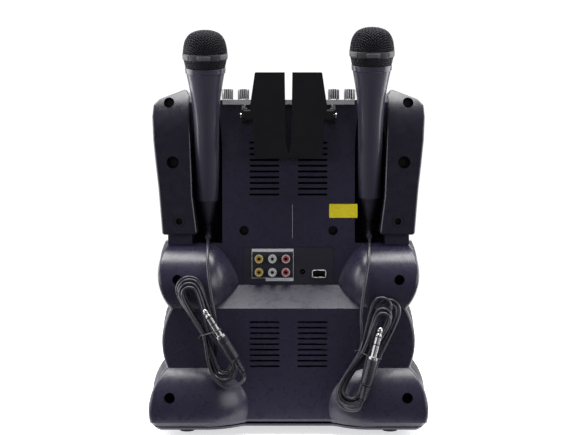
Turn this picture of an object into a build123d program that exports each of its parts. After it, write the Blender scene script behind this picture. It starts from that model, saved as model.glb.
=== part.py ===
from build123d import *
from math import sin, cos, tan, radians, degrees, sqrt, hypot, pi
import os

os.makedirs("parts", exist_ok=True)

# ---------------------------------------------------------------- dimensions
# millimetres; +Z up, the screen faces -Y, the jacks face +Y, origin on the
# floor under the middle of the housing

WALL = 2.8             # moulded wall of the housing
PART_Y = 28.0          # parting plane between the rear cover and the cabinet
LOW_Y = 100.0          # rear face of the lower body
UP_Y = 72.0            # rear face of the upper column
FRONT_Y = -112.0       # front face of the cabinet
BASE_Z = 7.4           # underside of the housing, above the feet
SKIRT_Z = 16.0         # start of the 45 degree chamfer round the rear foot
CREST_Z = 195.5        # top of the lower body
NECK_Z = 204.5         # underside of the shoulder pods
SHOULDER_LOW, SHOULDER_TOP = 130.3, 151.8   # sloping shelf under the jacks
COLUMN_TOP = 342.5     # top wall of the column
PANEL_T = 2.5          # control panel thickness

# side drums: circles of the outline (centre x, centre z, radius)
RING_1 = (73.5, 166.77, 60.2)
RING_2 = (59.47, 96.12, 70.74)
RING_3 = (86.2, 28.74, 55.78)
DRUM_1 = (64.0, 153.0, 42.5)     # y, z and radius of the upper barrel
DRUM_3 = (68.0, 28.0, 52.0)      # y, z and radius of the lower barrel
LENS_OUT = 6.0                   # the light columns stand this much wider

# microphones
LEAN = 13.5                      # backward lean of each microphone, degrees
MIC_X, MIC_Y, MIC_Z = 85.0, 84.0, 340.0
MIC_SEAT = {1: 0.0, -1: 3.0}     # how far each one stands up out of its notch
CHANNEL_R = 15.8
CORD_D = 3.4

# cradle
CRADLE_Y = 86.0
PIVOT_Y, PIVOT_Z = 83.0, 328.3

# controls
KNOB_X = (64.4, 47.5, 30.6, -30.6, -47.5, -64.4)
KNOB_Y = 55.0
SLOPE = 12.4                     # fall of the control panel towards the front
SLOPE_Y = 20.0                   # where the fall starts

# disc tray
TRAY_Z = 185.0
TRAY_W = 130.0
GEAR_R = 12.0                    # pitch radius of the drive gear
GEAR_TEETH = 20
GEAR_X, GEAR_Y = -45.5, -88.0

AY, AZ = sin(radians(LEAN)), cos(radians(LEAN))


def behind(y):
    """Sketch plane facing +Y; its x runs towards -X."""
    return Plane(origin=(0, y, 0), x_dir=(-1, 0, 0), z_dir=(0, 1, 0))


def ahead(y):
    """Sketch plane facing -Y; its x runs towards +X."""
    return Plane(origin=(0, y, 0), x_dir=(1, 0, 0), z_dir=(0, -1, 0))


def seat(side, along):
    """Point on the axis of a microphone."""
    a = along + MIC_SEAT[side]
    return (side * MIC_X, MIC_Y + AY * a, MIC_Z + AZ * a)


def mic_plane(side, along):
    return Plane(origin=seat(side, along), x_dir=(1, 0, 0), z_dir=(0, AY, AZ))


def mic_profile(side):
    return Plane(origin=seat(side, 0), x_dir=(1, 0, 0), z_dir=(0, -AZ, AY))


def mic_axis(side):
    return Axis(seat(side, 0), (0, AY, AZ))


def side_profile(points, inset=0.0):
    """Closed polygon in the YZ plane, moved inwards by inset."""
    with BuildSketch() as sk:
        with BuildLine():
            Polyline(*points, close=True)
        make_face()
        if inset:
            offset(amount=-inset, kind=Kind.INTERSECTION, mode=Mode.REPLACE)
    return sk.sketch


def slope_z(y):
    """Underside of the control panel."""
    return COLUMN_TOP if y > SLOPE_Y else COLUMN_TOP - (SLOPE_Y - y) * tan(radians(SLOPE))


# ---------------------------------------------------------------- rear cover
def barrel(centre_y, centre_z, profile, ring, grow, soft):
    """Drum turned about an axis along X, cut to its round outline."""
    with BuildPart() as drum:
        with BuildSketch(Plane(origin=(0, centre_y, centre_z), x_dir=(1, 0, 0), z_dir=(0, 0, 1))):
            with BuildLine():
                profile()
            make_face()
        revolve(axis=Axis((0, centre_y, centre_z), (1, 0, 0)))
        with BuildSketch(behind(centre_y - 100)):
            with Locations((-ring[0], ring[1])):
                Circle(ring[2] + grow)
            with Locations((-(ring[0] - 80), ring[1])):
                Rectangle(160, 2 * (ring[2] + grow))
        extrude(amount=250, mode=Mode.INTERSECT)
        if soft:
            fillet(drum.edges().filter_by(lambda e: e.position_at(0.5).X > 100 and e.length > 60), soft)
    return drum.part


def drum_one(t, soft=0.0):
    r = DRUM_1[2] - t

    def profile():
        Bezier((48.5 + 1.4 * t, 0), (55 + 1.4 * t, 13), (66 + t, r), (84, r))
        Polyline((84, r), (160, r), (160, 0), (48.5 + 1.4 * t, 0))

    return barrel(DRUM_1[0], DRUM_1[1], profile, RING_1, -t, soft)


def drum_three(t, soft=0.0):
    r = DRUM_3[2] - t

    def profile():
        EllipticalCenterArc((86, 0), 56.6 - t, r, start_angle=90, arc_size=90)
        Polyline((86 - 56.6 + t, 0), (160, 0), (160, r), (86, r))

    return barrel(DRUM_3[0], DRUM_3[1], profile, RING_3, -t, soft)


def flat_drum(ring, y0, y1, grow, z_low, z_high, soft):
    """Straight drum: round outline, flat rear face."""
    with BuildPart() as drum:
        with BuildSketch(behind(y0)):
            with Locations((-ring[0], ring[1])):
                Circle(ring[2] + grow)
        extrude(amount=y1 - y0)
        if soft:
            fillet(drum.edges().group_by(Axis.Y)[-1], soft)
        with BuildSketch(behind(y0)):
            with Locations((-130, (z_low + z_high) / 2)):
                Rectangle(60, z_high - z_low)
        extrude(amount=y1 - y0, mode=Mode.INTERSECT)
    return drum.part


def column_form(t):
    """Upper column and neck with the two microphone channels."""
    y0 = PART_Y - (8 if t else 0)
    top = COLUMN_TOP - t
    with BuildPart() as col:
        with BuildSketch(behind(y0)):
            with BuildLine():
                Polyline((0, 180), (126 - t, 180), (126 - t, NECK_Z - t), (94.3 - t, NECK_Z - t),
                         (99.3 - t, 245), (101.2 - t, 307), (102.7 - t, top), (0, top), close=True)
            make_face()
            mirror(about=Plane.YZ)
        extrude(amount=UP_Y - t - y0)
        for s in (-1, 1):
            with BuildSketch(Plane(origin=(s * MIC_X, MIC_Y - 200 * AY, MIC_Z - 200 * AZ),
                                   x_dir=(1, 0, 0), z_dir=(0, AY, AZ))):
                Circle(CHANNEL_R + t)
                with Locations((0, 50)):
                    Rectangle(2 * (CHANNEL_R + t), 100)
            extrude(amount=240, mode=Mode.SUBTRACT)
    return col.part


def rear_form(t, soft=0.0):
    y0 = PART_Y - (8 if t else 0)
    base = BASE_Z + t
    with BuildPart() as form:
        # slab between the drums
        with BuildSketch(Plane.YZ):
            add(side_profile([(y0 - t, BASE_Z), (LOW_Y, BASE_Z), (LOW_Y, SHOULDER_LOW), (64, 157),
                              (64, CREST_Z), (y0 - t, CREST_Z)], t))
        extrude(amount=112, both=True)
        # middle column with the sloping shelf
        with BuildSketch(Plane.YZ):
            add(side_profile([(y0 - t, 20), (LOW_Y, 20), (LOW_Y, SHOULDER_LOW), (UP_Y, SHOULDER_TOP),
                              (UP_Y, CREST_Z), (y0 - t, CREST_Z)], t))
        extrude(amount=79 - t, both=True)
        # straight parts of the drums
        two = flat_drum(RING_2, y0, LOW_Y - t, -t, 60, 140, soft)
        one = flat_drum(RING_1, y0, DRUM_1[0], -t, 110, CREST_Z - t, 0)
        three = flat_drum(RING_3, y0, DRUM_3[0], -t, base, 80, 0)
        for piece in (two, one, three, drum_one(t, soft), drum_three(t, soft)):
            add(piece)
            add(piece.mirror(Plane.YZ))
        # everything under the base and ahead of the parting plane goes
        with BuildSketch(Plane.XY.offset(base)):
            Rectangle(400, 400)
        extrude(amount=-100, mode=Mode.SUBTRACT)
        with BuildSketch(behind(y0)):
            Rectangle(400, 800)
        extrude(amount=-150, mode=Mode.SUBTRACT)
        add(column_form(t))
    return form.part


def well(x, z, bore, y_floor, y_open, y_foot, outer):
    """Screw well: a tube down from the rear face with a floor for the screw."""
    with BuildPart() as tube:
        with BuildSketch(behind(y_floor - 3)):
            with Locations((-x, z)):
                Circle(bore + 1.8)
        extrude(amount=y_open - y_floor + 3)
        with BuildSketch(behind(y_foot)):
            with Locations((-x, z)):
                Circle(4.6)
        extrude(amount=y_floor - y_foot)
        add(outer, mode=Mode.INTERSECT)
    with BuildPart() as cut:
        with BuildSketch(behind(y_floor)):
            with Locations((-x, z)):
                Circle(bore)
        extrude(amount=80)
        with BuildSketch(behind(y_foot - 1)):
            with Locations((-x, z)):
                Circle(1.75)
        extrude(amount=y_floor - y_foot + 2)
    return tube.part, cut.part


# wells of the rear cover: x, z, bore radius, floor y
REAR_WELLS = [(113.1, 160, 5.3, 60), (-113.1, 160, 5.3, 60), (120.5, 41, 5.5, 66), (-120.5, 41, 5.5, 66),
              (46.5, 208.8, 4.9, 54), (-46.5, 208.8, 4.9, 54)]
# wells of the pods: x, z, bore radius, floor y
POD_WELLS = [(124.5, 342.3, 5.5, 56), (119.9, 280, 6.3, 60), (113.4, 218.8, 3.5, 66)]

# plan of the skirt at its top and at its foot, right half
SKIRT_TOP = [(41.5, 99.9), (45.5, 102.0), (51.0, 107.0), (60.0, 112.5), (72.0, 117.0), (86.0, 118.5), (136.6, 118.5),
             (140.4, 115.0)]
SKIRT_FOOT = [(44.5, 91.5), (49.0, 93.8), (55.0, 99.0), (63.0, 104.6), (73.0, 108.9), (86.0, 110.3), (130.0, 110.3),
              (133.8, 106.5)]


def skirt_plan(pts):
    with BuildSketch() as sk:
        with BuildLine():
            Line((0, pts[0][1]), pts[0])
            Spline(*pts[:6])
            Line(pts[5], pts[6])
            Line(pts[6], pts[7])
            Line(pts[7], (pts[7][0], PART_Y))
            Line((pts[7][0], PART_Y), (0, PART_Y))
            mirror(about=Plane.YZ)
        make_face()
    return sk.sketch


outer_rear = rear_form(0, 3.5)
inner_rear = rear_form(WALL)
rear_cuts = []

with BuildPart() as rear_cover:
    add(outer_rear)
    # the foot of the cover slopes in at 45 degrees below the skirt line
    with BuildSketch(Plane.XY.offset(SKIRT_Z)):
        Rectangle(400, 400)
    extrude(amount=-40, mode=Mode.SUBTRACT)
    for z, plan in ((SKIRT_Z, SKIRT_TOP), (BASE_Z, SKIRT_FOOT)):
        with BuildSketch(Plane.XY.offset(z)):
            add(skirt_plan(plan))
    loft(ruled=True)

REAR_VENTS_UP = [(x, 246.5 + 6.01 * k) for k in range(10) for x in (-25.2, 25.2)]
REAR_VENTS_LOW = [(x, 70.8 + 5.68 * k) for k in range(9) for x in (-24.5, 24.5)]
JACK_X, JACK_Z0, JACK_Z1 = 47.5, 152.9, 191.8     # jack recess
JACK_ROWS = (179.3, 165.3)
JACK_COLS = {"yellow": 30.9, "white": 16.9, "red": 2.8}
POWER_X, PORT_X = -14.6, -32.0
LOW_ROW = 165.6
RECESS = 1.2

with rear_cover:
    add(inner_rear, mode=Mode.SUBTRACT)
    # wells for the case screws
    for x, z, bore, y_floor in REAR_WELLS:
        tube, cut = well(x, z, bore, y_floor, 130, PART_Y + 6, outer_rear)
        add(tube)
        add(cut, mode=Mode.SUBTRACT)
    # cooling slots, upper and lower
    with BuildSketch(behind(UP_Y + 1)):
        with Locations(*REAR_VENTS_UP):
            SlotOverall(31.0, 2.1)
    extrude(amount=-WALL - 2, mode=Mode.SUBTRACT)
    with BuildSketch(behind(LOW_Y + 1)):
        with Locations(*REAR_VENTS_LOW):
            SlotOverall(30.6, 1.9)
    extrude(amount=-WALL - 2, mode=Mode.SUBTRACT)
    # seat and window of the jack panel
    with BuildSketch(behind(UP_Y - RECESS)):
        with Locations((0, (JACK_Z0 + JACK_Z1) / 2)):
            RectangleRounded(2 * JACK_X, JACK_Z1 - JACK_Z0, 3.2)
    extrude(amount=20, mode=Mode.SUBTRACT)
    with BuildSketch(behind(UP_Y - 5)):
        with Locations((0, (JACK_Z0 + JACK_Z1) / 2 + 1.0)):
            Rectangle(2 * JACK_X - 8, JACK_Z1 - JACK_Z0 - 8)
    extrude(amount=20, mode=Mode.SUBTRACT)
    # window in the top wall, closed by the control panel
    with BuildSketch(Plane.XY.offset(COLUMN_TOP - 5)):
        with Locations((0, 42)):
            Rectangle(144, 38)
    extrude(amount=10, mode=Mode.SUBTRACT)
rear_cover.part.label = "rear_cover"
export_step(rear_cover.part, "parts/rear_cover.step")

# ---------------------------------------------------------------- shoulder pods
POD_OUT = [(94.6, NECK_Z + 0.3), (99.6, 245), (101.5, 307), (103.0, 349), (107.5, 357.2), (134.5, 346.0),
           (140.6, 339.5), (141.4, 327), (140.6, 315), (140.1, 303), (137.6, 278), (134.9, 254), (132.9, 229),
           (131.0, NECK_Z + 0.3)]
POD_Y = 82.0
POD_ROLL = 70.0        # radius of the roll-over above z 306


def pod_form(t, soft=0.0):
    y0 = PART_Y + 0.2 - (8 if t else 0)
    with BuildPart() as pod:
        with BuildSketch(behind(y0)):
            with BuildLine():
                Polyline(*[(-x, z) for x, z in POD_OUT], close=True)
            make_face()
            if t:
                offset(amount=-t, kind=Kind.INTERSECTION, mode=Mode.REPLACE)
            else:
                fillet([v for v in vertices() if v.Z > 338 or v.Z < 206], 3.0)
        extrude(amount=80)
        with BuildSketch(Plane.YZ.offset(80)):
            with BuildLine():
                y1 = POD_Y - t
                r = POD_ROLL - t
                Line((y0, 190), (y1, 190))
                Line((y1, 190), (y1, 306))
                a = radians(52)
                CenterArc((y1 - r, 306), r, 0, 52)
                Line((y1 - r + r * cos(a), 306 + r * sin(a)), (y0, 306 + r * sin(a)))
                Line((y0, 306 + r * sin(a)), (y0, 190))
            make_face()
        extrude(amount=80, mode=Mode.INTERSECT)
    return pod.part


for side, word in ((1, "left"), (-1, "right")):
    with BuildPart() as pod_cover:
        shape = pod_form(0)
        rims = shape.edges().filter_by(lambda e: e.position_at(0.5).Y > 50 and e.length > 8)
        add(shape)
        try:
            fillet(pod_cover.faces().filter_by(Axis.Y).sort_by(Axis.Y)[-1].edges()
                   .filter_by(lambda e: e.position_at(0.5).Z < 305), 2.0)
        except ValueError:
            print("pod rims stay sharp")
        add(pod_form(WALL), mode=Mode.SUBTRACT)
        for x, z, bore, y_floor in POD_WELLS:
            tube, cut = well(x, z, bore, y_floor, 130, PART_Y + 6, shape)
            add(tube)
            add(cut, mode=Mode.SUBTRACT)
        # shallow ring round the small lower hole
        with BuildSketch(behind(POD_Y - 0.5)):
            with Locations((-113.4, 218.8)):
                Circle(6.4)
                Circle(5.6, mode=Mode.SUBTRACT)
        extrude(amount=2, mode=Mode.SUBTRACT)
        if side < 0:
            mirror(about=Plane.YZ, mode=Mode.REPLACE)
    pod_cover.part.label = "pod_cover_" + word
    export_step(pod_cover.part, "parts/pod_cover_" + word + ".step")

# ---------------------------------------------------------------- front cabinet
EAR_Y = -34.0
CAB_X = 100.0
SCREEN_Z0, SCREEN_Z1, SCREEN_X = 212.0, 304.0, 84.0
SPEAKER_Z, SPEAKER_R = 96.0, 68.0
SLOT_Z0, SLOT_Z1, SLOT_X = 178.6, 200.0, 73.0
LENS_Y = -34.0


def cabinet_form(t, soft=0.0):
    y1 = PART_Y + (5 if t else 0)
    y0 = FRONT_Y + t
    with BuildPart() as cab:
        with BuildSketch(Plane.YZ):
            with BuildLine():
                Polyline((y0, BASE_Z + t), (y1, BASE_Z + t), (y1, COLUMN_TOP - t), (SLOPE_Y, COLUMN_TOP - t),
                         (y0, slope_z(FRONT_Y) - t), close=True)
            make_face()
        extrude(amount=CAB_X - t, both=True)
        if soft:
            fillet(cab.edges().filter_by(Axis.Z).filter_by(lambda e: e.position_at(0.5).Y < 0), soft)
        # neck across the top of the light columns
        with BuildSketch(behind(EAR_Y + t)):
            with Locations((0, (CREST_Z + 0.5 + NECK_Z + 4) / 2)):
                Rectangle(2 * (126 - t), NECK_Z + 4 - CREST_Z - 0.5 - 2 * t)
        extrude(amount=y1 - EAR_Y - t)
        # front halves of the shoulder pods
        with BuildSketch(behind(EAR_Y + t)):
            with BuildLine():
                Polyline(*[(-x, z) for x, z in POD_OUT], close=True)
            make_face()
            if t:
                offset(amount=-t, kind=Kind.INTERSECTION, mode=Mode.REPLACE)
            else:
                fillet([v for v in vertices() if v.Z > 338 or v.Z < 206], 3.0)
            mirror(about=Plane.YZ)
        ears = extrude(amount=y1 - EAR_Y - t)
    return cab.part


def ear_limit(t):
    """Everything the cabinet may fill; its ears are rounded over towards the front."""
    with BuildPart() as limit:
        with BuildSketch(Plane.YZ):
            with Locations(((FRONT_Y + PART_Y) / 2, 200)):
                Rectangle(PART_Y - FRONT_Y + 40, 400)
        extrude(amount=200, both=True)
        with BuildSketch(Plane.YZ):
            with BuildLine():
                Polyline((EAR_Y - 1 + t, 190), (EAR_Y - 11, 190), (EAR_Y - 11, 410), (EAR_Y + 62, 410),
                         (EAR_Y + 62, 357.5 - t), close=False)
                ThreePointArc((EAR_Y + 62, 357.5 - t), (EAR_Y + 17 + 0.75 * t, 330 - 0.66 * t), (EAR_Y - 1 + t, 275))
                Line((EAR_Y - 1 + t, 275), (EAR_Y - 1 + t, 190))
            make_face()
        extrude(amount=200, both=True, mode=Mode.SUBTRACT)
        with BuildSketch(Plane.YZ):
            with Locations(((FRONT_Y + PART_Y) / 2, (COLUMN_TOP + 1) / 2)):
                Rectangle(PART_Y - FRONT_Y + 40, COLUMN_TOP + 1)
        extrude(amount=CAB_X + 0.1 - t, both=True)
    return limit.part


inner_cabinet = cabinet_form(WALL) & ear_limit(WALL)

with BuildPart() as front_cabinet:
    add(cabinet_form(0, 10.0))
    add(ear_limit(0), mode=Mode.INTERSECT)
    add(inner_cabinet, mode=Mode.SUBTRACT)
    # windows for the screen, the disc tray and the loudspeaker
    with BuildSketch(ahead(FRONT_Y + 20)):
        with Locations((0, (SCREEN_Z0 + SCREEN_Z1) / 2)):
            RectangleRounded(2 * SCREEN_X - 6, SCREEN_Z1 - SCREEN_Z0 - 6, 4)
        with Locations((0, (SLOT_Z0 + SLOT_Z1) / 2)):
            RectangleRounded(2 * SLOT_X, SLOT_Z1 - SLOT_Z0, 2)
        with Locations((0, SPEAKER_Z)):
            Circle(SPEAKER_R)
    extrude(amount=40, mode=Mode.SUBTRACT)
    with BuildSketch(ahead(FRONT_Y + 1.4)):
        with Locations((0, (SCREEN_Z0 + SCREEN_Z1) / 2)):
            RectangleRounded(2 * SCREEN_X, SCREEN_Z1 - SCREEN_Z0, 6)
    extrude(amount=5, mode=Mode.SUBTRACT)
    # window in the sloping top, closed by the control panel
    with BuildSketch(Plane.XY.offset(300)):
        with Locations((0, (FRONT_Y + 14 + PART_Y + 6) / 2)):
            Rectangle(150, PART_Y + 6 - FRONT_Y - 14)
    extrude(amount=60, mode=Mode.SUBTRACT)
    # bridges that the rear cover screws into
    for x, z, bore, y_floor in REAR_WELLS:
        if abs(x) < 100:
            with BuildSketch(behind(PART_Y + 5.8)):
                with Locations((-x, z)):
                    Circle(5.0)
                    Circle(1.55, mode=Mode.SUBTRACT)
            extrude(amount=-46)
            with BuildSketch(behind(PART_Y - 40.2)):
                with Locations((-(x + (CAB_X - 1) * (1 if x > 0 else -1)) / 2, z)):
                    Rectangle(abs(CAB_X - 1 - abs(x)) + 8, 10)
            extrude(amount=6)
front_cabinet.part.label = "front_cabinet"
print("cabinet", len(front_cabinet.solids()))
export_step(front_cabinet.part, "parts/front_cabinet.step")

# ---------------------------------------------------------------- light columns
def lens_drum(ring, cy, cz, r, t, soft):
    with BuildPart() as drum:
        with BuildSketch(Plane.YZ.offset(60)):
            with Locations((cy, cz)):
                Circle(r - t)
        extrude(amount=100)
        with BuildSketch(behind(cy - 100)):
            with Locations((-ring[0], ring[1])):
                Circle(ring[2] + LENS_OUT - t)
        extrude(amount=200, mode=Mode.INTERSECT)
        if soft:
            fillet(drum.edges().filter_by(lambda e: e.position_at(0.5).X > 100 and e.length > 40), soft)
    return drum.part


def lens_form(t, soft=0.0):
    """Three stacked drums that stand a little wider than the rear cover."""
    x0 = CAB_X + 0.2 - (4 if t else 0)
    y1 = PART_Y - 0.1 - t
    with BuildPart() as lens:
        for ring, cy, cz, r in ((RING_1, -34.0, 163.5, 32.0), (RING_2, -34.0, 99.7, 33.0), (RING_3, -42.0, 38.7, 36.0)):
            add(lens_drum(ring, cy, cz, r, t, soft))
            with BuildSketch(behind(cy)):
                with Locations((-ring[0], ring[1])):
                    Circle(ring[2] + LENS_OUT - t)
                with Locations((-(x0 + 60), cz)):
                    Rectangle(120, 2 * (r - t) - 0.02, mode=Mode.INTERSECT)
            extrude(amount=y1 - cy)
        with BuildSketch(behind(-150)):
            with Locations((-(x0 + 60), (BASE_Z + t + CREST_Z - t) / 2)):
                Rectangle(120, CREST_Z - BASE_Z - 2 * t)
        extrude(amount=150 + y1, mode=Mode.INTERSECT)
    return lens.part


with BuildPart() as light_columns:
    add(lens_form(0, 5.0))
    add(lens_form(WALL), mode=Mode.SUBTRACT)
    # channel for the lamp strip through the waists between the drums
    with BuildSketch(Plane.YZ.offset(CAB_X)):
        with Locations((-34, 100)):
            Rectangle(18, 174)
    extrude(amount=6, mode=Mode.SUBTRACT)
    mirror(about=Plane.YZ)
light_columns.part.label = "light_columns"
print("lens", len(light_columns.solids()), light_columns.part.is_valid)
export_step(light_columns.part, "parts/light_columns.step")

# ---------------------------------------------------------------- lamps, feet
with BuildPart() as led_strips:
    # one strip of lamps in each light column, on the cabinet wall
    with BuildSketch(Plane.YZ.offset(CAB_X + 0.2)):
        with Locations((-34, 100)):
            Rectangle(14, 170)
    extrude(amount=1.6)
    with BuildSketch(Plane.YZ.offset(CAB_X + 1.8)):
        with GridLocations(0.0001, 18, 1, 9):
            with Locations((-34, 100)):
                Rectangle(5, 5)
    extrude(amount=1.5)
    mirror(about=Plane.YZ)
led_strips.part.label = "led_strips"
export_step(led_strips.part, "parts/led_strips.step")

FOOT_X, FOOT_YS = 106.0, (78.0, -88.0)
with BuildPart() as rubber_feet:
    for y in FOOT_YS:
        for x in (FOOT_X if y > 0 else 84.0,):
            with BuildSketch(Plane.XY):
                with Locations((x, y), (-x, y)):
                    Circle(7.6)
            extrude(amount=BASE_Z - 0.05, taper=4)
rubber_feet.part.label = "rubber_feet"
export_step(rubber_feet.part, "parts/rubber_feet.step")

# ---------------------------------------------------------------- control panel
PANEL_Y0, PANEL_Y1 = FRONT_Y + 3.0, UP_Y
ND = (0, -sin(radians(SLOPE)), cos(radians(SLOPE)))      # normal of the slope


def slope_plane(y, x=0.0):
    """Sketch plane on top of the sloping part of the control panel."""
    z = slope_z(y) + PANEL_T / cos(radians(SLOPE))
    return Plane(origin=(x, y, z), x_dir=(1, 0, 0), z_dir=ND)


BUTTON_X, BUTTON_Y = (-22.0, 0.0, 22.0), -62.0
BUTTON_W, BUTTON_D, BUTTON_TRAVEL = 15.0, 8.0, 1.5
MIC_JACK_X, MIC_JACK_Y = 60.0, -62.0

with BuildPart() as control_panel:
    with BuildSketch(Plane.YZ):
        with BuildLine():
            up = PANEL_T / cos(radians(SLOPE))
            k = SLOPE_Y
            Polyline((PANEL_Y0, slope_z(PANEL_Y0) + 0.02), (k, COLUMN_TOP + 0.02), (PANEL_Y1, COLUMN_TOP + 0.02),
                     (PANEL_Y1, COLUMN_TOP + PANEL_T), (k - 0.27, COLUMN_TOP + PANEL_T),
                     (PANEL_Y0, slope_z(PANEL_Y0) + up), close=True)
        make_face()
    extrude(amount=CAB_X - 0.6, both=True)
    fillet(control_panel.edges().filter_by(lambda e: e.position_at(0.5).Y < PANEL_Y0 + 1 and e.length < 6), 2.0)
    # notches that the microphones hang in
    for s in (-1, 1):
        with BuildSketch(Plane(origin=(s * MIC_X, MIC_Y - 30 * AY, MIC_Z - 30 * AZ), x_dir=(1, 0, 0), z_dir=(0, AY, AZ))):
            Circle(CHANNEL_R)
            with Locations((0, 50)):
                Rectangle(2 * CHANNEL_R, 100)
        extrude(amount=60, mode=Mode.SUBTRACT)
        # the pods take the outer corners
        with BuildSketch(Plane.XY.offset(COLUMN_TOP - 60)):
            with Locations((s * (CAB_X + 20), (EAR_Y + 150) / 2 - 2)):
                Rectangle(2 * (20 - (-2)) + 0.0, 150 - EAR_Y)
        extrude(amount=120, mode=Mode.SUBTRACT)
    # shaft holes, button holes and microphone sockets
    with BuildSketch(Plane.XY.offset(COLUMN_TOP - 5)):
        with Locations(*[(x, KNOB_Y) for x in KNOB_X]):
            Circle(3.5)
    extrude(amount=12, mode=Mode.SUBTRACT)
    with BuildSketch(slope_plane(BUTTON_Y)):
        with Locations(*[(x, 0) for x in BUTTON_X]):
            RectangleRounded(BUTTON_W + 0.7, BUTTON_D + 0.7, 1.6)
        with Locations((MIC_JACK_X, 0), (-MIC_JACK_X, 0)):
            Circle(4.8)
    extrude(amount=-6, mode=Mode.SUBTRACT)
control_panel.part.label = "control_panel"
print("panel", len(control_panel.solids()), control_panel.part.is_valid)
export_step(control_panel.part, "parts/control_panel.step")

with BuildPart() as top_trim:
    # bright strip along the rear edge of the top, between the microphones
    with BuildSketch(Plane.YZ):
        with BuildLine():
            Polyline((UP_Y + 0.1, COLUMN_TOP - 2.4), (UP_Y + 1.4, COLUMN_TOP - 2.4), (UP_Y + 1.4, COLUMN_TOP + PANEL_T + 0.1),
                     (UP_Y + 0.1, COLUMN_TOP + PANEL_T + 0.1), close=True)
        make_face()
    extrude(amount=MIC_X - CHANNEL_R - 0.6, both=True)
top_trim.part.label = "top_trim"
export_step(top_trim.part, "parts/top_trim.step")

# ---------------------------------------------------------------- knobs
for i, x in enumerate(KNOB_X):
    with BuildPart() as knob:
        z0 = COLUMN_TOP + PANEL_T + 0.5
        with BuildSketch(Plane.XY.offset(z0)):
            with Locations((x, KNOB_Y)):
                Circle(6.05)
        extrude(amount=12.0)
        fillet(knob.edges().sort_by(Axis.Z)[-1], 1.0)
        # finger flutes
        with BuildSketch(Plane.XY.offset(z0 + 1.6)):
            with Locations((x, KNOB_Y)):
                with PolarLocations(6.45, 18):
                    Circle(0.75)
        extrude(amount=14, mode=Mode.SUBTRACT)
        # pointer groove
        with BuildSketch(Plane.XY.offset(z0 + 11.4)):
            with Locations((x, KNOB_Y - 3.2)):
                Rectangle(0.9, 3.6)
        extrude(amount=2, mode=Mode.SUBTRACT)
        # shaft
        with BuildSketch(Plane.XY.offset(z0 - 11)):
            with Locations((x, KNOB_Y)):
                Circle(3.0)
        extrude(amount=11)
    knob.part.label = f"control_knob_{i + 1}"
    export_step(knob.part, f"parts/control_knob_{i + 1}.step")

# ---------------------------------------------------------------- push buttons
for i, x in enumerate(BUTTON_X):
    with BuildPart() as button:
        pl = slope_plane(BUTTON_Y, x)
        with BuildSketch(pl.offset(-8.0)):
            RectangleRounded(BUTTON_W, BUTTON_D, 1.3)
        extrude(amount=10.2)
        fillet(button.edges().filter_by(lambda e: e.position_at(0.5).Z > pl.origin.Z + 1.0), 0.5)
        with BuildSketch(pl.offset(-9.2)):
            RectangleRounded(BUTTON_W + 3, BUTTON_D + 3, 1.3)
        extrude(amount=1.2)
    button.part.label = f"push_button_{i + 1}"
    export_step(button.part, f"parts/push_button_{i + 1}.step")

with BuildPart() as mic_input_jacks:
    for s in (-1, 1):
        with BuildSketch(slope_plane(MIC_JACK_Y, s * MIC_JACK_X).offset(-26.0)):
            Circle(6.4)
        extrude(amount=26 - PANEL_T - 0.05)
        with BuildSketch(slope_plane(MIC_JACK_Y, s * MIC_JACK_X).offset(-10.0)):
            Circle(4.6)
        extrude(amount=12.2)
        with BuildSketch(slope_plane(MIC_JACK_Y, s * MIC_JACK_X).offset(0.05)):
            RegularPolygon(6.6, 6)
            Circle(4.6, mode=Mode.SUBTRACT)
        extrude(amount=1.8)
        with BuildSketch(slope_plane(MIC_JACK_Y, s * MIC_JACK_X).offset(5)):
            Circle(3.2)
        extrude(amount=-29, mode=Mode.SUBTRACT)
mic_input_jacks.part.label = "mic_input_jacks"
print("jacks", len(mic_input_jacks.solids()))
export_step(mic_input_jacks.part, "parts/mic_input_jacks.step")

# ---------------------------------------------------------------- screen
with BuildPart() as display_window:
    with BuildSketch(ahead(FRONT_Y + 1.35)):
        with Locations((0, (SCREEN_Z0 + SCREEN_Z1) / 2)):
            RectangleRounded(2 * SCREEN_X - 0.4, SCREEN_Z1 - SCREEN_Z0 - 0.4, 5.8)
    extrude(amount=1.6)
    fillet(display_window.faces().sort_by(Axis.Y)[0].edges(), 0.5)
display_window.part.label = "display_window"
export_step(display_window.part, "parts/display_window.step")

with BuildPart() as display_panel:
    with BuildSketch(ahead(FRONT_Y + 9.0)):
        with Locations((0, (SCREEN_Z0 + SCREEN_Z1) / 2)):
            Rectangle(165, 90)
    extrude(amount=6.0)
    with BuildSketch(ahead(FRONT_Y + 10.6)):
        with Locations((0, (SCREEN_Z0 + SCREEN_Z1) / 2)):
            Rectangle(120, 60)
    extrude(amount=1.6)
display_panel.part.label = "display_panel"
export_step(display_panel.part, "parts/display_panel.step")

# ---------------------------------------------------------------- loudspeaker
with BuildPart() as speaker_grille:
    # domed round grille with a seat ring; its face carries rings of slots
    with BuildSketch(Plane(origin=(0, FRONT_Y - 0.05, SPEAKER_Z), x_dir=(1, 0, 0), z_dir=(0, 0, 1))):
        with BuildLine():
            Polyline((0, -7.95), (20, -7.6), (40, -6.4), (58, -4.4), (70, -4.4), (74, -2.6), (74, 0), (66, 0), (57, -2.4),
                     (40, -4.4), (20, -5.6), (0, -5.95), close=True)
        make_face()
    revolve(axis=Axis((0, FRONT_Y, SPEAKER_Z), (0, 1, 0)))
    with BuildSketch(ahead(FRONT_Y + 5)):
        with Locations((0, SPEAKER_Z)):
            for radius, count in ((12, 6), (20, 10), (28, 14), (36, 18), (44, 22), (52, 26)):
                with PolarLocations(radius, count):
                    Circle(2.0)
    extrude(amount=30, mode=Mode.SUBTRACT)
speaker_grille.part.label = "speaker_grille"
export_step(speaker_grille.part, "parts/speaker_grille.step")

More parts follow.
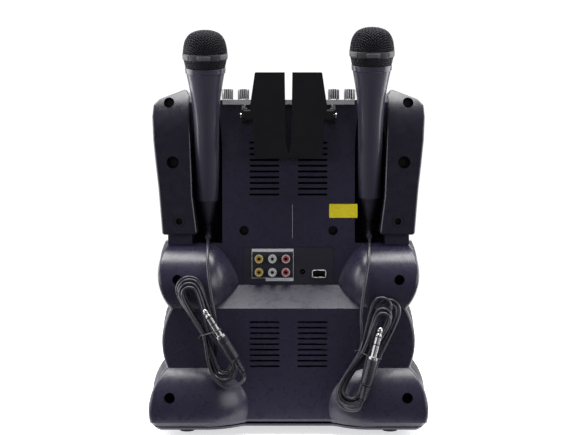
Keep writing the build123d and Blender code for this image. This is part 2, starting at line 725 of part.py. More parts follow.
SP_Y = FRONT_Y + WALL            # mounting face of the driver
with BuildPart() as speaker_basket:
    with BuildSketch(Plane(origin=(0, SP_Y + 0.05, SPEAKER_Z), x_dir=(1, 0, 0), z_dir=(0, 0, 1))):
        with BuildLine():
            Polyline((62, 0), (76, 0), (76, 2.5), (66, 2.5), (36, 30), (20, 30), (20, 27.5), (34.5, 27.5), (62, 2.3), close=True)
        make_face()
    revolve(axis=Axis((0, 0, SPEAKER_Z), (0, 1, 0)))
    with BuildSketch(ahead(SP_Y + 26)):
        with Locations((0, SPEAKER_Z)):
            with PolarLocations(50, 6):
                SlotOverall(24, 12, rotation=0)
    extrude(amount=20, mode=Mode.SUBTRACT)
speaker_basket.part.label = "speaker_basket"
print("basket", len(speaker_basket.solids()))
export_step(speaker_basket.part, "parts/speaker_basket.step")

with BuildPart() as speaker_cone:
    with BuildSketch(Plane(origin=(0, SP_Y + 0.05, SPEAKER_Z), x_dir=(1, 0, 0), z_dir=(0, 0, 1))):
        with BuildLine():
            Polyline((0, 14.0), (7, 15.0), (13, 19.0), (15, 21.0), (50, 3.0), (52.5, 1.0), (57, 1.0), (59.5, 2.4),
                     (61.3, 2.0), (61.3, 1.0), (59.5, 0.2), (56.5, -1.2), (53, -1.2), (49.5, 0.8), (47.5, 2.2),
                     (15, 18.6), (13, 17.0), (7.5, 13.0), (0, 12.0), close=True)
        make_face()
    revolve(axis=Axis((0, 0, SPEAKER_Z), (0, 1, 0)))
    # voice coil former
    with BuildSketch(behind(SP_Y + 20.0)):
        with Locations((0, SPEAKER_Z)):
            Circle(14.0)
            Circle(13.0, mode=Mode.SUBTRACT)
    extrude(amount=9.0)
speaker_cone.part.label = "speaker_cone"
print("cone", len(speaker_cone.solids()))
export_step(speaker_cone.part, "parts/speaker_cone.step")

with BuildPart() as speaker_magnet:
    with BuildSketch(behind(SP_Y + 30.1)):
        with Locations((0, SPEAKER_Z)):
            Circle(35.0)
            Circle(15.5, mode=Mode.SUBTRACT)
    extrude(amount=18)
    with BuildSketch(behind(SP_Y + 48.1)):
        with Locations((0, SPEAKER_Z)):
            Circle(32.0)
    extrude(amount=4)
    with BuildSketch(behind(SP_Y + 31)):
        with Locations((0, SPEAKER_Z)):
            Circle(11.5)
    extrude(amount=18)
speaker_magnet.part.label = "speaker_magnet"
export_step(speaker_magnet.part, "parts/speaker_magnet.step")

# ---------------------------------------------------------------- disc drive
TRAY_Y0, TRAY_Y1 = FRONT_Y + 0.4, 44.0
DISC_Y = -38.0                     # middle of the disc, tray closed
with BuildPart() as disc_tray:
    with BuildSketch(Plane.XY.offset(TRAY_Z)):
        with Locations((0, (TRAY_Y0 + TRAY_Y1) / 2)):
            Rectangle(TRAY_W, TRAY_Y1 - TRAY_Y0)
    extrude(amount=6.0)
    with BuildSketch(Plane.XY.offset(TRAY_Z + 3.0)):
        with Locations((0, DISC_Y)):
            Circle(60.6)
    extrude(amount=5, mode=Mode.SUBTRACT)
    with BuildSketch(Plane.XY.offset(TRAY_Z + 1.8)):
        with Locations((0, DISC_Y)):
            Circle(41.0)
    extrude(amount=5, mode=Mode.SUBTRACT)
    # slot for the spindle and the pickup, open to the rear
    with BuildSketch(Plane.XY.offset(TRAY_Z - 1)):
        with Locations((0, DISC_Y)):
            Circle(19.0)
        with Locations((0, DISC_Y + 50)):
            Rectangle(30, 72)
    extrude(amount=10, mode=Mode.SUBTRACT)
    # rack rib under the left edge
    with BuildSketch(Plane.XY.offset(TRAY_Z - 5.5)):
        with Locations((-59.8, (TRAY_Y0 + TRAY_Y1) / 2 + 4)):
            Rectangle(6.4, TRAY_Y1 - TRAY_Y0 - 14)
    extrude(amount=5.5)
    # its teeth: gaps at the pitch of the drive gear, one of them level with the gear
    pitch = 2 * pi * GEAR_R / GEAR_TEETH
    with BuildSketch(Plane.XY.offset(TRAY_Z - 5.5)):
        with Locations(*[(GEAR_X - GEAR_R, GEAR_Y + k * pitch) for k in range(-3, 35)]):
            Polygon((-1.3, -0.65), (1.3, -1.45), (1.3, 1.45), (-1.3, 0.65))
    extrude(amount=5.5, mode=Mode.SUBTRACT)
disc_tray.part.label = "disc_tray"
print("tray", len(disc_tray.solids()), disc_tray.part.is_valid)
export_step(disc_tray.part, "parts/disc_tray.step")

with BuildPart() as tray_front:
    with BuildSketch(ahead(FRONT_Y + 0.35)):
        with Locations((0, (SLOT_Z0 + SLOT_Z1) / 2)):
            RectangleRounded(2 * SLOT_X - 0.8, SLOT_Z1 - SLOT_Z0 - 0.8, 1.8)
    extrude(amount=3.6)
    fillet(tray_front.faces().sort_by(Axis.Y)[0].edges(), 0.9)
tray_front.part.label = "tray_front"
export_step(tray_front.part, "parts/tray_front.step")

with BuildPart() as mechanism_frame:
    with BuildSketch(Plane.XY.offset(167.0)):
        with Locations((0, -26)):
            Rectangle(142, 142)
    extrude(amount=2.0)
    with BuildSketch(Plane.XY.offset(166.0)):
        with Locations((0, DISC_Y + 36)):
            Rectangle(60, 60)
    extrude(amount=4, mode=Mode.SUBTRACT)
    for s in (-1, 1):
        with BuildSketch(Plane.XY.offset(167.0)):
            with Locations((s * (TRAY_W / 2 + 3.0), -26)):
                Rectangle(4.0, 142)
        extrude(amount=25.4)
        with BuildSketch(Plane.XY.offset(TRAY_Z + 6.6)):
            with Locations((s * (TRAY_W / 2 + 0.0), -33)):
                Rectangle(10.0, 114)
        extrude(amount=1.9)
        # shelf that the tray slides on
        with BuildSketch(Plane.XY.offset(TRAY_Z - 2.4)):
            with Locations((s * (TRAY_W / 2 + 0.1), -26)):
                Rectangle(3.0, 142)
        extrude(amount=2.0)
    # carrier of the clamp over the disc
    with BuildSketch(Plane.XY.offset(TRAY_Z + 10.0)):
        with Locations((0, DISC_Y + 36)):
            Rectangle(140, 16)
    extrude(amount=2.0)
    with BuildSketch(Plane.XY.offset(192.4)):
        with Locations((TRAY_W / 2 + 3.0, DISC_Y + 36), (-TRAY_W / 2 - 3.0, DISC_Y + 36)):
            Rectangle(4.0, 16)
    extrude(amount=3.1)
    # post of the drive gear and bearings of the spindle
    with BuildSketch(Plane.XY.offset(169.0)):
        with Locations((GEAR_X, GEAR_Y)):
            Circle(2.0)
    extrude(amount=14.5)
    # bridge under the spindle and blocks for the guide rods
    with BuildSketch(Plane.XY.offset(169.0)):
        with Locations((0, DISC_Y)):
            Rectangle(64, 12)
    extrude(amount=2.0)
    with BuildSketch(Plane.XY.offset(169.0)):
        with Locations((-24, DISC_Y), (24, DISC_Y), (-24, DISC_Y + 68), (24, DISC_Y + 68)):
            Rectangle(8, 8)
    extrude(amount=8.0)
    with BuildSketch(behind(DISC_Y - 10)):
        with Locations((24, 174), (-24, 174)):
            Circle(1.5)
    extrude(amount=100, mode=Mode.SUBTRACT)
    with BuildSketch(Plane.XY.offset(160)):
        with Locations((0, DISC_Y)):
            Circle(2.1)
    extrude(amount=20, mode=Mode.SUBTRACT)
mechanism_frame.part.label = "mechanism_frame"
print("mech", len(mechanism_frame.solids()), mechanism_frame.part.is_valid)
export_step(mechanism_frame.part, "parts/mechanism_frame.step")

with BuildPart() as drive_gear:
    with BuildSketch(Plane.XY.offset(TRAY_Z - 5.0)):
        with Locations((GEAR_X, GEAR_Y)):
            Circle(GEAR_R - 1.2)
            with PolarLocations(GEAR_R, GEAR_TEETH):
                Polygon((-1.5, -0.95), (0.9, -0.4), (0.9, 0.4), (-1.5, 0.95))
    extrude(amount=4.0)
    with BuildSketch(Plane.XY.offset(TRAY_Z - 9.0)):
        with Locations((GEAR_X, GEAR_Y)):
            Circle(5.0)
    extrude(amount=4.0)
    with BuildSketch(Plane.XY.offset(TRAY_Z - 20)):
        with Locations((GEAR_X, GEAR_Y)):
            Circle(2.06)
    extrude(amount=40, mode=Mode.SUBTRACT)
drive_gear.part.label = "drive_gear"
print("gear", len(drive_gear.solids()))
export_step(drive_gear.part, "parts/drive_gear.step")

with BuildPart() as turntable:
    with BuildSketch(Plane.XY.offset(180.5)):
        with Locations((0, DISC_Y)):
            Circle(15.0)
    extrude(amount=2.4)
    with BuildSketch(Plane.XY.offset(182.9)):
        with Locations((0, DISC_Y)):
            Circle(7.2)
    extrude(amount=1.6, taper=15)
    with BuildSketch(Plane.XY.offset(171.4)):
        with Locations((0, DISC_Y)):
            Circle(8.0)
    extrude(amount=9.1)
    with BuildSketch(Plane.XY.offset(165.0)):
        with Locations((0, DISC_Y)):
            Circle(2.05)
    extrude(amount=8)
turntable.part.label = "turntable"
export_step(turntable.part, "parts/turntable.step")

with BuildPart() as guide_rods:
    with BuildSketch(behind(DISC_Y - 4)):
        with Locations((24, 174), (-24, 174)):
            Circle(1.5)
    extrude(amount=76)
guide_rods.part.label = "guide_rods"
export_step(guide_rods.part, "parts/guide_rods.step")

SLED_Y0 = DISC_Y + 9.0
with BuildPart() as pickup_sled:
    with BuildSketch(Plane.XY.offset(170.6)):
        with Locations((0, SLED_Y0 + 9)):
            Rectangle(58, 16)
    extrude(amount=7.0)
    with BuildSketch(behind(SLED_Y0 - 5)):
        with Locations((24, 174), (-24, 174)):
            Circle(1.55)
    extrude(amount=40, mode=Mode.SUBTRACT)
    with BuildSketch(Plane.XY.offset(177.6)):
        with Locations((0, SLED_Y0 + 9)):
            Circle(4.0)
    extrude(amount=2.6)
pickup_sled.part.label = "pickup_sled"
export_step(pickup_sled.part, "parts/pickup_sled.step")

# ---------------------------------------------------------------- boards
BOARD_Y = 60.0
with BuildPart() as circuit_boards:
    # main board, flat over the disc drive
    with BuildSketch(Plane.XY.offset(215.0)):
        with Locations((0, -20)):
            Rectangle(150, 90)
    extrude(amount=1.6)
    with BuildSketch(Plane.XY.offset(216.6)):
        with Locations((-30, -30)):
            Rectangle(22, 22)
        with Locations((20, -40)):
            Rectangle(12, 18)
        with Locations((40, 0)):
            Rectangle(16, 10)
    extrude(amount=2.2)
    with BuildSketch(Plane.XY.offset(216.6)):
        with Locations((-60, 5), (-48, 5), (60, -40)):
            Circle(5)
    extrude(amount=13)
    # upright board behind the jacks
    with BuildSketch(behind(BOARD_Y - 1.6)):
        with Locations((0, 173)):
            Rectangle(84, 32)
    extrude(amount=1.6)
circuit_boards.part.label = "circuit_boards"
export_step(circuit_boards.part, "parts/circuit_boards.step")

with BuildPart() as heat_sink:
    with BuildSketch(Plane.XY.offset(218.9)):
        with Locations((-30, -30)):
            Rectangle(24, 24)
    extrude(amount=2)
    with BuildSketch(Plane.XY.offset(220.9)):
        with Locations((-30, -30)):
            with GridLocations(3.6, 0.001, 7, 1):
                Rectangle(1.2, 24)
    extrude(amount=12)
heat_sink.part.label = "heat_sink"
export_step(heat_sink.part, "parts/heat_sink.step")

# ---------------------------------------------------------------- jack panel
PLATE_Y0 = UP_Y - RECESS + 0.02
with BuildPart() as jack_panel:
    with BuildSketch(behind(PLATE_Y0)):
        with Locations((0, (JACK_Z0 + JACK_Z1) / 2)):
            RectangleRounded(2 * JACK_X - 0.5, JACK_Z1 - JACK_Z0 - 0.5, 3.0)
    extrude(amount=0.9)
    with BuildSketch(behind(PLATE_Y0 - 1)):
        with Locations(*[(-x, z) for x in JACK_COLS.values() for z in JACK_ROWS]):
            Circle(4.5)
        with Locations((-POWER_X, LOW_ROW)):
            Circle(3.3)
        with Locations((-PORT_X, 163.4)):
            Rectangle(15.2, 8.4)
    extrude(amount=4, mode=Mode.SUBTRACT)
jack_panel.part.label = "jack_panel"
export_step(jack_panel.part, "parts/jack_panel.step")

for colour, x in JACK_COLS.items():
    with BuildPart() as phono:
        for z in JACK_ROWS:
            # body on the board, then the round barrel with its bore
            with BuildSketch(behind(BOARD_Y + 0.02)):
                with Locations((-x, z)):
                    Rectangle(10.5, 10.5)
            extrude(amount=8.0)
            with BuildSketch(behind(BOARD_Y + 8.02)):
                with Locations((-x, z)):
                    Circle(4.3)
            extrude(amount=9.6)
            with BuildSketch(behind(BOARD_Y + 6.0)):
                with Locations((-x, z)):
                    Circle(1.75)
            extrude(amount=14, mode=Mode.SUBTRACT)
            with BuildSketch(behind(BOARD_Y + 16.2)):
                with Locations((-x, z)):
                    Circle(3.55)
                    Circle(2.9, mode=Mode.SUBTRACT)
            extrude(amount=3, mode=Mode.SUBTRACT)
    phono.part.label = "phono_jacks_" + colour
    export_step(phono.part, "parts/phono_jacks_" + colour + ".step")

with BuildPart() as power_jack:
    with BuildSketch(behind(BOARD_Y + 0.02)):
        with Locations((-POWER_X, LOW_ROW)):
            Rectangle(9, 9)
    extrude(amount=9.0)
    with BuildSketch(behind(BOARD_Y + 9.02)):
        with Locations((-POWER_X, LOW_ROW)):
            Circle(3.15)
    extrude(amount=2.6)
    with BuildSketch(behind(BOARD_Y + 3.0)):
        with Locations((-POWER_X, LOW_ROW)):
            Circle(2.75)
    extrude(amount=14, mode=Mode.SUBTRACT)
    with BuildSketch(behind(BOARD_Y + 2.0)):
        with Locations((-POWER_X, LOW_ROW)):
            Circle(0.95)
    extrude(amount=8.6)
power_jack.part.label = "power_jack"
export_step(power_jack.part, "parts/power_jack.step")

with BuildPart() as data_port:
    with BuildSketch(behind(BOARD_Y + 0.02)):
        with Locations((-PORT_X, 163.4)):
            Rectangle(14.4, 7.6)
            Rectangle(13.2, 6.4, mode=Mode.SUBTRACT)
    extrude(amount=13.0)
    with BuildSketch(behind(BOARD_Y + 0.02)):
        with Locations((-PORT_X, 163.4)):
            Rectangle(14.4, 7.6)
    extrude(amount=1.5)
    with BuildSketch(behind(BOARD_Y + 1.5)):
        with Locations((-PORT_X, 164.6)):
            Rectangle(11.0, 1.8)
    extrude(amount=10.5)
data_port.part.label = "data_port"
export_step(data_port.part, "parts/data_port.step")

# ---------------------------------------------------------------- cradle
CRADLE_T = 3.2
CRADLE_OUT = [(34.5, 372.2), (39.3, 339.8), (39.3, 334.4), (36.4, 322.2), (35.1, 284.4)]
LUG_X0, LUG_X1 = 36.0, 46.4
with BuildPart() as cradle_plate:
    with BuildSketch(behind(CRADLE_Y)):
        with BuildLine():
            Polyline(*(CRADLE_OUT + [(-x, z) for x, z in reversed(CRADLE_OUT)]), close=True)
        make_face()
        fillet([v for v in vertices() if v.Z > 370], 3.0)
        fillet([v for v in vertices() if v.Z < 290], 1.5)
        # slot for the charging lead, open at the top, pointed at its foot
        with BuildLine():
            Polyline((3.9, 373), (3.1, 321), (2.6, 300), (0.0, 288.5), (-2.6, 300), (-3.1, 321), (-3.9, 373), close=True)
        make_face(mode=Mode.SUBTRACT)
    extrude(amount=CRADLE_T)
    # thin stiffening lips along the lower sides
    for s in (-1, 1):
        with BuildSketch(Plane.XY.offset(285.5)):
            with Locations((s * 34.7, CRADLE_Y - 1.7)):
                Rectangle(1.4, 4.0)
        extrude(amount=34.0)
        # lugs round the hinge pins
        with BuildSketch(Plane.YZ.offset(s * (LUG_X0 + LUG_X1) / 2)):
            with Locations((PIVOT_Y + 0.9, PIVOT_Z)):
                RectangleRounded(10.2, 12.0, 3.0)
        extrude(amount=(LUG_X1 - LUG_X0) / 2, both=True)
        # shelf that carries the phone, one half each side of the slot
        with BuildSketch(Plane.XY.offset(314.0)):
            with Locations((s * 18.6, (76.0 + CRADLE_Y) / 2 + 0.1)):
                Rectangle(29.0, CRADLE_Y - 76.0 + 0.2)
        extrude(amount=2.6)
        with BuildSketch(Plane.XY.offset(316.6)):
            with Locations((s * 18.6, 76.8)):
                Rectangle(29.0, 1.6)
        extrude(amount=2.4)
    with BuildSketch(Plane.YZ.offset(-80)):
        with Locations((PIVOT_Y, PIVOT_Z)):
            Circle(1.56)
    extrude(amount=160, mode=Mode.SUBTRACT)
cradle_plate.part.label = "cradle_plate"
print("cradle", len(cradle_plate.solids()), cradle_plate.part.is_valid)
export_step(cradle_plate.part, "parts/cradle_plate.step")

with BuildPart() as cradle_brackets:
    for s in (-1, 1):
        with BuildSketch(behind(UP_Y + 0.02)):
            with Locations((-s * 45.2, 329.5)):
                RectangleRounded(7.6, 20, 1.0)
        extrude(amount=1.2)
        with BuildSketch(Plane.YZ.offset(s * 47.6 - 0.7)):
            with BuildLine():
                Polyline((UP_Y + 0.5, 321), (UP_Y + 0.5, 339.5), (UP_Y + 4, 339.5), (87, 334), (87, 322.5), (84, 321), close=True)
            make_face()
        extrude(amount=1.4)
    with BuildSketch(Plane.YZ.offset(-80)):
        with Locations((PIVOT_Y, PIVOT_Z)):
            Circle(1.52)
    extrude(amount=160, mode=Mode.SUBTRACT)
cradle_brackets.part.label = "cradle_brackets"
print("brackets", len(cradle_brackets.solids()))
export_step(cradle_brackets.part, "parts/cradle_brackets.step")

with BuildPart() as hinge_pins:
    for s in (-1, 1):
        with BuildSketch(Plane.YZ.offset(s * 42.8 - 5.7)):
            with Locations((PIVOT_Y, PIVOT_Z)):
                Circle(1.5)
        extrude(amount=11.4)
        with BuildSketch(Plane.YZ.offset(s * 49.0 - 0.6)):
            with Locations((PIVOT_Y, PIVOT_Z)):
                Circle(2.6)
        extrude(amount=1.2)
hinge_pins.part.label = "hinge_pins"
print("pins", len(hinge_pins.solids()))
export_step(hinge_pins.part, "parts/hinge_pins.step")

# ---------------------------------------------------------------- case screws
with BuildPart() as case_screws:
    for x, z, bore, y_floor in REAR_WELLS + POD_WELLS + [(-w[0], w[1], w[2], w[3]) for w in POD_WELLS]:
        head = min(3.4, bore - 0.4)
        with BuildSketch(behind(y_floor + 0.02)):
            with Locations((-x, z)):
                Circle(head)
        extrude(amount=2.2)
        with BuildSketch(behind(PART_Y + 2)):
            with Locations((-x, z)):
                Circle(1.45)
        extrude(amount=y_floor - PART_Y - 1.9)
        with BuildSketch(behind(y_floor + 1.2)):
            with Locations((-x, z)):
                Rectangle(3.6, 0.8)
                Rectangle(0.8, 3.6)
        extrude(amount=3, mode=Mode.SUBTRACT)
case_screws.part.label = "case_screws"
print("screws", len(case_screws.solids()))
export_step(case_screws.part, "parts/case_screws.step")

# ---------------------------------------------------------------- microphones
BUSH_A, EXIT_A = -102.0, -128.0
for side, word in ((1, "left"), (-1, "right")):
    prof = mic_profile(side)
    turn = mic_axis(side)
    with BuildPart() as handle:
        with BuildSketch(prof):
            with BuildLine():
                Line((18.4, 38.0), (20.4, 38.0))
                Line((20.4, 38.0), (20.8, 37.2))
                Line((20.8, 37.2), (20.4, 32.6))
                Line((20.4, 32.6), (19.6, 32.0))
                Spline((19.6, 32.0), (16.2, 13.5), (14.2, -2.0), (13.2, -22.0), (12.8, -50.0))
                Line((12.8, -50.0), (12.5, -100.6))
                Line((12.5, -100.6), (11.9, BUSH_A + 0.05))
                Line((11.9, BUSH_A + 0.05), (9.6, BUSH_A + 0.05))
                Line((9.6, BUSH_A + 0.05), (10.6, -50.0))
                Line((10.6, -50.0), (11.2, -22.0))
                Line((11.2, -22.0), (12.2, -2.0))
                Line((12.2, -2.0), (17.2, 32.0))
                Line((17.2, 32.0), (18.4, 38.0))
            make_face()
        revolve(axis=turn)
        # flat pocket of the on/off switch, on the side away from the jacks
        with BuildSketch(prof.offset(12.0)):
            with Locations((0, -24)):
                RectangleRounded(8.0, 17.0, 2.0)
        extrude(amount=6, mode=Mode.SUBTRACT)
    handle.part.label = "mic_handle_" + word
    export_step(handle.part, "parts/mic_handle_" + word + ".step")

    with BuildPart() as grille:
        with BuildSketch(prof):
            with BuildLine():
                Line((19.6, 38.05), (20.4, 38.05))
                Line((20.4, 38.05), (22.2, 46.4))
                Line((22.2, 46.4), (22.2, 53.2))
                Line((22.2, 53.2), (21.6, 53.4))
                Spline((21.6, 53.4), (20.9, 60.0), (18.2, 67.6), (12.6, 73.2), (6.0, 75.8), (0, 76.4),
                       tangents=((0, 1), (-1, 0)))
                Line((0, 76.4), (0, 75.4))
                Spline((0, 75.4), (5.8, 74.8), (12.0, 72.3), (17.4, 67.0), (20.0, 59.8), (20.6, 53.4),
                       tangents=((1, 0), (0, -1)))
                Line((20.6, 53.4), (21.2, 46.6))
                Line((21.2, 46.6), (19.6, 38.05))
            make_face()
        revolve(axis=turn)
    grille.part.label = "mic_grille_" + word
    export_step(grille.part, "parts/mic_grille_" + word + ".step")

    with BuildPart() as ring:
        with BuildSketch(mic_plane(side, 46.6)):
            Circle(23.6)
            Circle(22.25, mode=Mode.SUBTRACT)
        extrude(amount=6.4)
        fillet(ring.edges().filter_by(lambda e: e.length > 2 * pi * 23), 0.6)
    ring.part.label = "mic_ring_" + word
    export_step(ring.part, "parts/mic_ring_" + word + ".step")

    with BuildPart() as bush:
        with BuildSketch(prof):
            with BuildLine():
                Polyline((0, BUSH_A), (10.2, BUSH_A), (9.9, BUSH_A - 2.5), (5.6, -124.5), (4.3, -125.2), (4.0, EXIT_A),
                         (0, EXIT_A), close=True)
            make_face()
        revolve(axis=turn)
        with BuildSketch(mic_plane(side, -124.6)):
            with PolarLocations(9.9, 14):
                Rectangle(1.6, 1.0)
        extrude(amount=19.0, taper=0, mode=Mode.SUBTRACT)
    bush.part.label = "mic_cord_bush_" + word
    export_step(bush.part, "parts/mic_cord_bush_" + word + ".step")

    with BuildPart() as switch:
        with BuildSketch(prof.offset(12.15)):
            with Locations((0, -26.5)):
                RectangleRounded(6.4, 8.0, 1.6)
        extrude(amount=1.2)
        with BuildSketch(prof.offset(13.35)):
            with Locations((0, -28.4), (0, -26.5), (0, -24.6)):
                Rectangle(4.6, 0.9)
        extrude(amount=0.8)
    switch.part.label = "mic_switch_" + word
    export_step(switch.part, "parts/mic_switch_" + word + ".step")

# ---------------------------------------------------------------- cords
EXIT = {s: seat(s, EXIT_A) for s in (1, -1)}
ROUTE_LEFT = [EXIT[1], (85.0, 52.5, 208.7), (84.8, 58.5, 202.6), (84.3, 70.5, 201.4), (83.6, 85.0, 198.0),
              (82.9, 98.6, 188.8), (82.0, 108.6, 174.6), (80.2, 114.0, 157.6), (77.3, 116.4, 139.6),
              (73.4, 117.2, 121.0)]
ROUTE_RIGHT = [EXIT[-1], (-85.0, 53.3, 211.4), (-84.9, 58.6, 204.6), (-84.5, 70.0, 202.0), (-83.9, 84.6, 198.6),
               (-82.6, 98.4, 189.4), (-80.6, 108.8, 175.0), (-77.4, 114.0, 158.0), (-74.6, 116.2, 140.0),
               (-73.0, 117.4, 122.0), (-74.4, 118.4, 103.0)]


def route_radii(points):
    """Radius at each corner: 0.45 of its shorter run over tan of half the turn."""
    radii = []
    for a, b, c in zip(points, points[1:], points[2:]):
        u, v = Vector(*b) - Vector(*a), Vector(*c) - Vector(*b)
        half = radians(u.get_angle(v)) / 2
        radii.append(0.45 * min(u.length, v.length) / tan(half))
    return radii


# hanks: outline (x, z), the y of the back face at two heights, thickness
HANK_T = 13.0
HANK_LEFT = [(100.3, 166.3), (93.2, 162.8), (86.0, 153.2), (81.4, 142.0), (76.2, 127.9), (70.6, 109.6), (58.1, 91.4),
             (48.5, 79.2), (45.0, 66.0), (49.0, 55.8), (60.2, 50.2), (72.3, 55.8), (80.4, 72.1), (84.9, 90.4),
             (86.9, 103.1), (100.4, 113.7), (110.0, 125.9), (112.4, 143.1), (109.4, 159.3)]
HANK_RIGHT = [(-80.2, 126.1), (-86.0, 139.8), (-93.2, 144.1), (-104.5, 143.7), (-112.7, 134.4), (-114.2, 125.1),
              (-107.7, 109.6), (-97.3, 97.8), (-92.3, 82.7), (-90.9, 64.1), (-85.3, 47.5), (-77.0, 35.0), (-66.7, 29.9),
              (-56.4, 31.7), (-48.0, 40.3), (-46.0, 51.7), (-50.2, 64.1), (-58.3, 75.4), (-70.3, 87.9), (-74.4, 99.8),
              (-77.6, 113.0)]
BACK_LEFT = ((166.0, 108.8), (50.0, 112.6))
BACK_RIGHT = ((144.0, 107.0), (35.0, 121.0))


def back_plane(back):
    (z0, y0), (z1, y1) = back
    up = Vector(0, y0 - y1, z0 - z1).normalized()
    out = Vector(-1, 0, 0).cross(up) * 1.0
    return Plane(origin=(0, y0, z0), x_dir=(-1, 0, 0), z_dir=(out.X, out.Y, out.Z)), up


for word, side, route, outline, back in (("left", 1, ROUTE_LEFT, HANK_LEFT, BACK_LEFT),
                                         ("right", -1, ROUTE_RIGHT, HANK_RIGHT, BACK_RIGHT)):
    radii = route_radii(route)
    print(word, "cord radii", [round(r, 1) for r in radii])
    with BuildPart() as cord:
        with BuildLine():
            path = FilletPolyline(*route, radius=radii)
        with BuildSketch(Plane(origin=route[0], z_dir=path % 0)):
            Circle(CORD_D / 2)
        sweep()
    print(word, "cord", round(cord.part.volume, 1), "against", round(pi * CORD_D ** 2 / 4 * path.length, 1),
          "length", round(path.length, 1))
    cord.part.label = "mic_cord_" + word
    export_step(cord.part, "parts/mic_cord_" + word + ".step")

    plane, up = back_plane(back)
    stretch = 1 / up.Z
    with BuildPart() as hank:
        with BuildSketch(plane):
            with BuildLine():
                Polyline(*[(-x, (z - back[0][0]) * stretch) for x, z in outline], close=True)
            make_face()
        extrude(amount=HANK_T)
    hank.part.label = "cord_hank_" + word
    export_step(hank.part, "parts/cord_hank_" + word + ".step")

# plugs: tip and tail of the axis (x, z); they lie on the hanks
PLUG = {"left": ((84.5, 132.4), (45.3, 69.2)), "right": ((-92.3, 112.6), (-72.5, 39.7))}
for word, back in (("left", BACK_LEFT), ("right", BACK_RIGHT)):
    (z0, y0), (z1, y1) = back
    plane, up = back_plane(back)
    lift = plane.z_dir * (HANK_T + 6.0)

    def on_hank(x, z):
        return Vector(x, y0 + (y1 - y0) * (z - z0) / (z1 - z0), z) + lift

    tip, tail = on_hank(*PLUG[word][0]), on_hank(*PLUG[word][1])
    along = (tail - tip).normalized()
    sideways = along.cross(plane.z_dir).normalized()
    with BuildPart() as plug:
        with BuildSketch(Plane(origin=tip, x_dir=sideways, z_dir=sideways.cross(along))):
            with BuildLine():
                Polyline((0, 0), (1.2, 0.4), (2.6, 3.4), (2.2, 5.2), (3.17, 7.4), (3.17, 30.5), (5.0, 30.5), (5.0, 33.5),
                         (5.6, 34.0), (5.6, 58.5), (4.6, 60.5), (3.7, 61.5), (3.0, 74.0), (0, 74.0), close=True)
            make_face()
        revolve(axis=Axis(tip, along))
    print(word, "plug", [round(c, 1) for c in (tip.X, tip.Y, tip.Z)], [round(c, 1) for c in (tail.X, tail.Y, tail.Z)])
    plug.part.label = "mic_plug_" + word
    export_step(plug.part, "parts/mic_plug_" + word + ".step")
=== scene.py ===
import bpy
from math import radians, pi, sin, cos, tan, atan2, sqrt, hypot, floor
from mathutils import Vector, Matrix


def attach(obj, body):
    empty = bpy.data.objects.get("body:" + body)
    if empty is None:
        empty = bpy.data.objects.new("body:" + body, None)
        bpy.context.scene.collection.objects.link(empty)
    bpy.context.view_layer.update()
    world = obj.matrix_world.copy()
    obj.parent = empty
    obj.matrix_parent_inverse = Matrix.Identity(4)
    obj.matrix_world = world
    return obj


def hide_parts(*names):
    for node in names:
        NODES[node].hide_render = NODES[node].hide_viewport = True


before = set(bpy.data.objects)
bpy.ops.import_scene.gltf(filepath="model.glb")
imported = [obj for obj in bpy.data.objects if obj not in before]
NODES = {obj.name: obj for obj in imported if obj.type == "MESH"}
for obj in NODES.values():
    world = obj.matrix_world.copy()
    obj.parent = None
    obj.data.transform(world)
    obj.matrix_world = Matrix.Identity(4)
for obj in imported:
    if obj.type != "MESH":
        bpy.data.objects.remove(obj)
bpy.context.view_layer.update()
MM = 0.001
scene = bpy.context.scene

# ------------------------------------------------------------------ camera
cam_data = bpy.data.cameras.new("camera")
cam_data.lens = 73.0
cam_data.sensor_width = 36.0
cam_data.clip_end = 50.0
camera = bpy.data.objects.new("camera", cam_data)
camera.location = (-0.00153, 1.300, 0.2716)
camera.rotation_euler = (radians(90 - 2.29), 0.0, radians(180))
scene.collection.objects.link(camera)
scene.camera = camera

# ------------------------------------------------------------------ sizes (millimetres)
LEAN = radians(13.5)
AY, AZ = sin(LEAN), cos(LEAN)
MIC_X, MIC_Y, MIC_Z = 85.0, 84.0, 340.0
MIC_SEAT = {1: 0.0, -1: 3.0}
CORD_D = 3.4
COLUMN_TOP, PANEL_T = 342.5, 2.5
UP_Y = 72.0


def seat(side, along):
    a = along + MIC_SEAT[side]
    return Vector((side * MIC_X, MIC_Y + AY * a, MIC_Z + AZ * a))


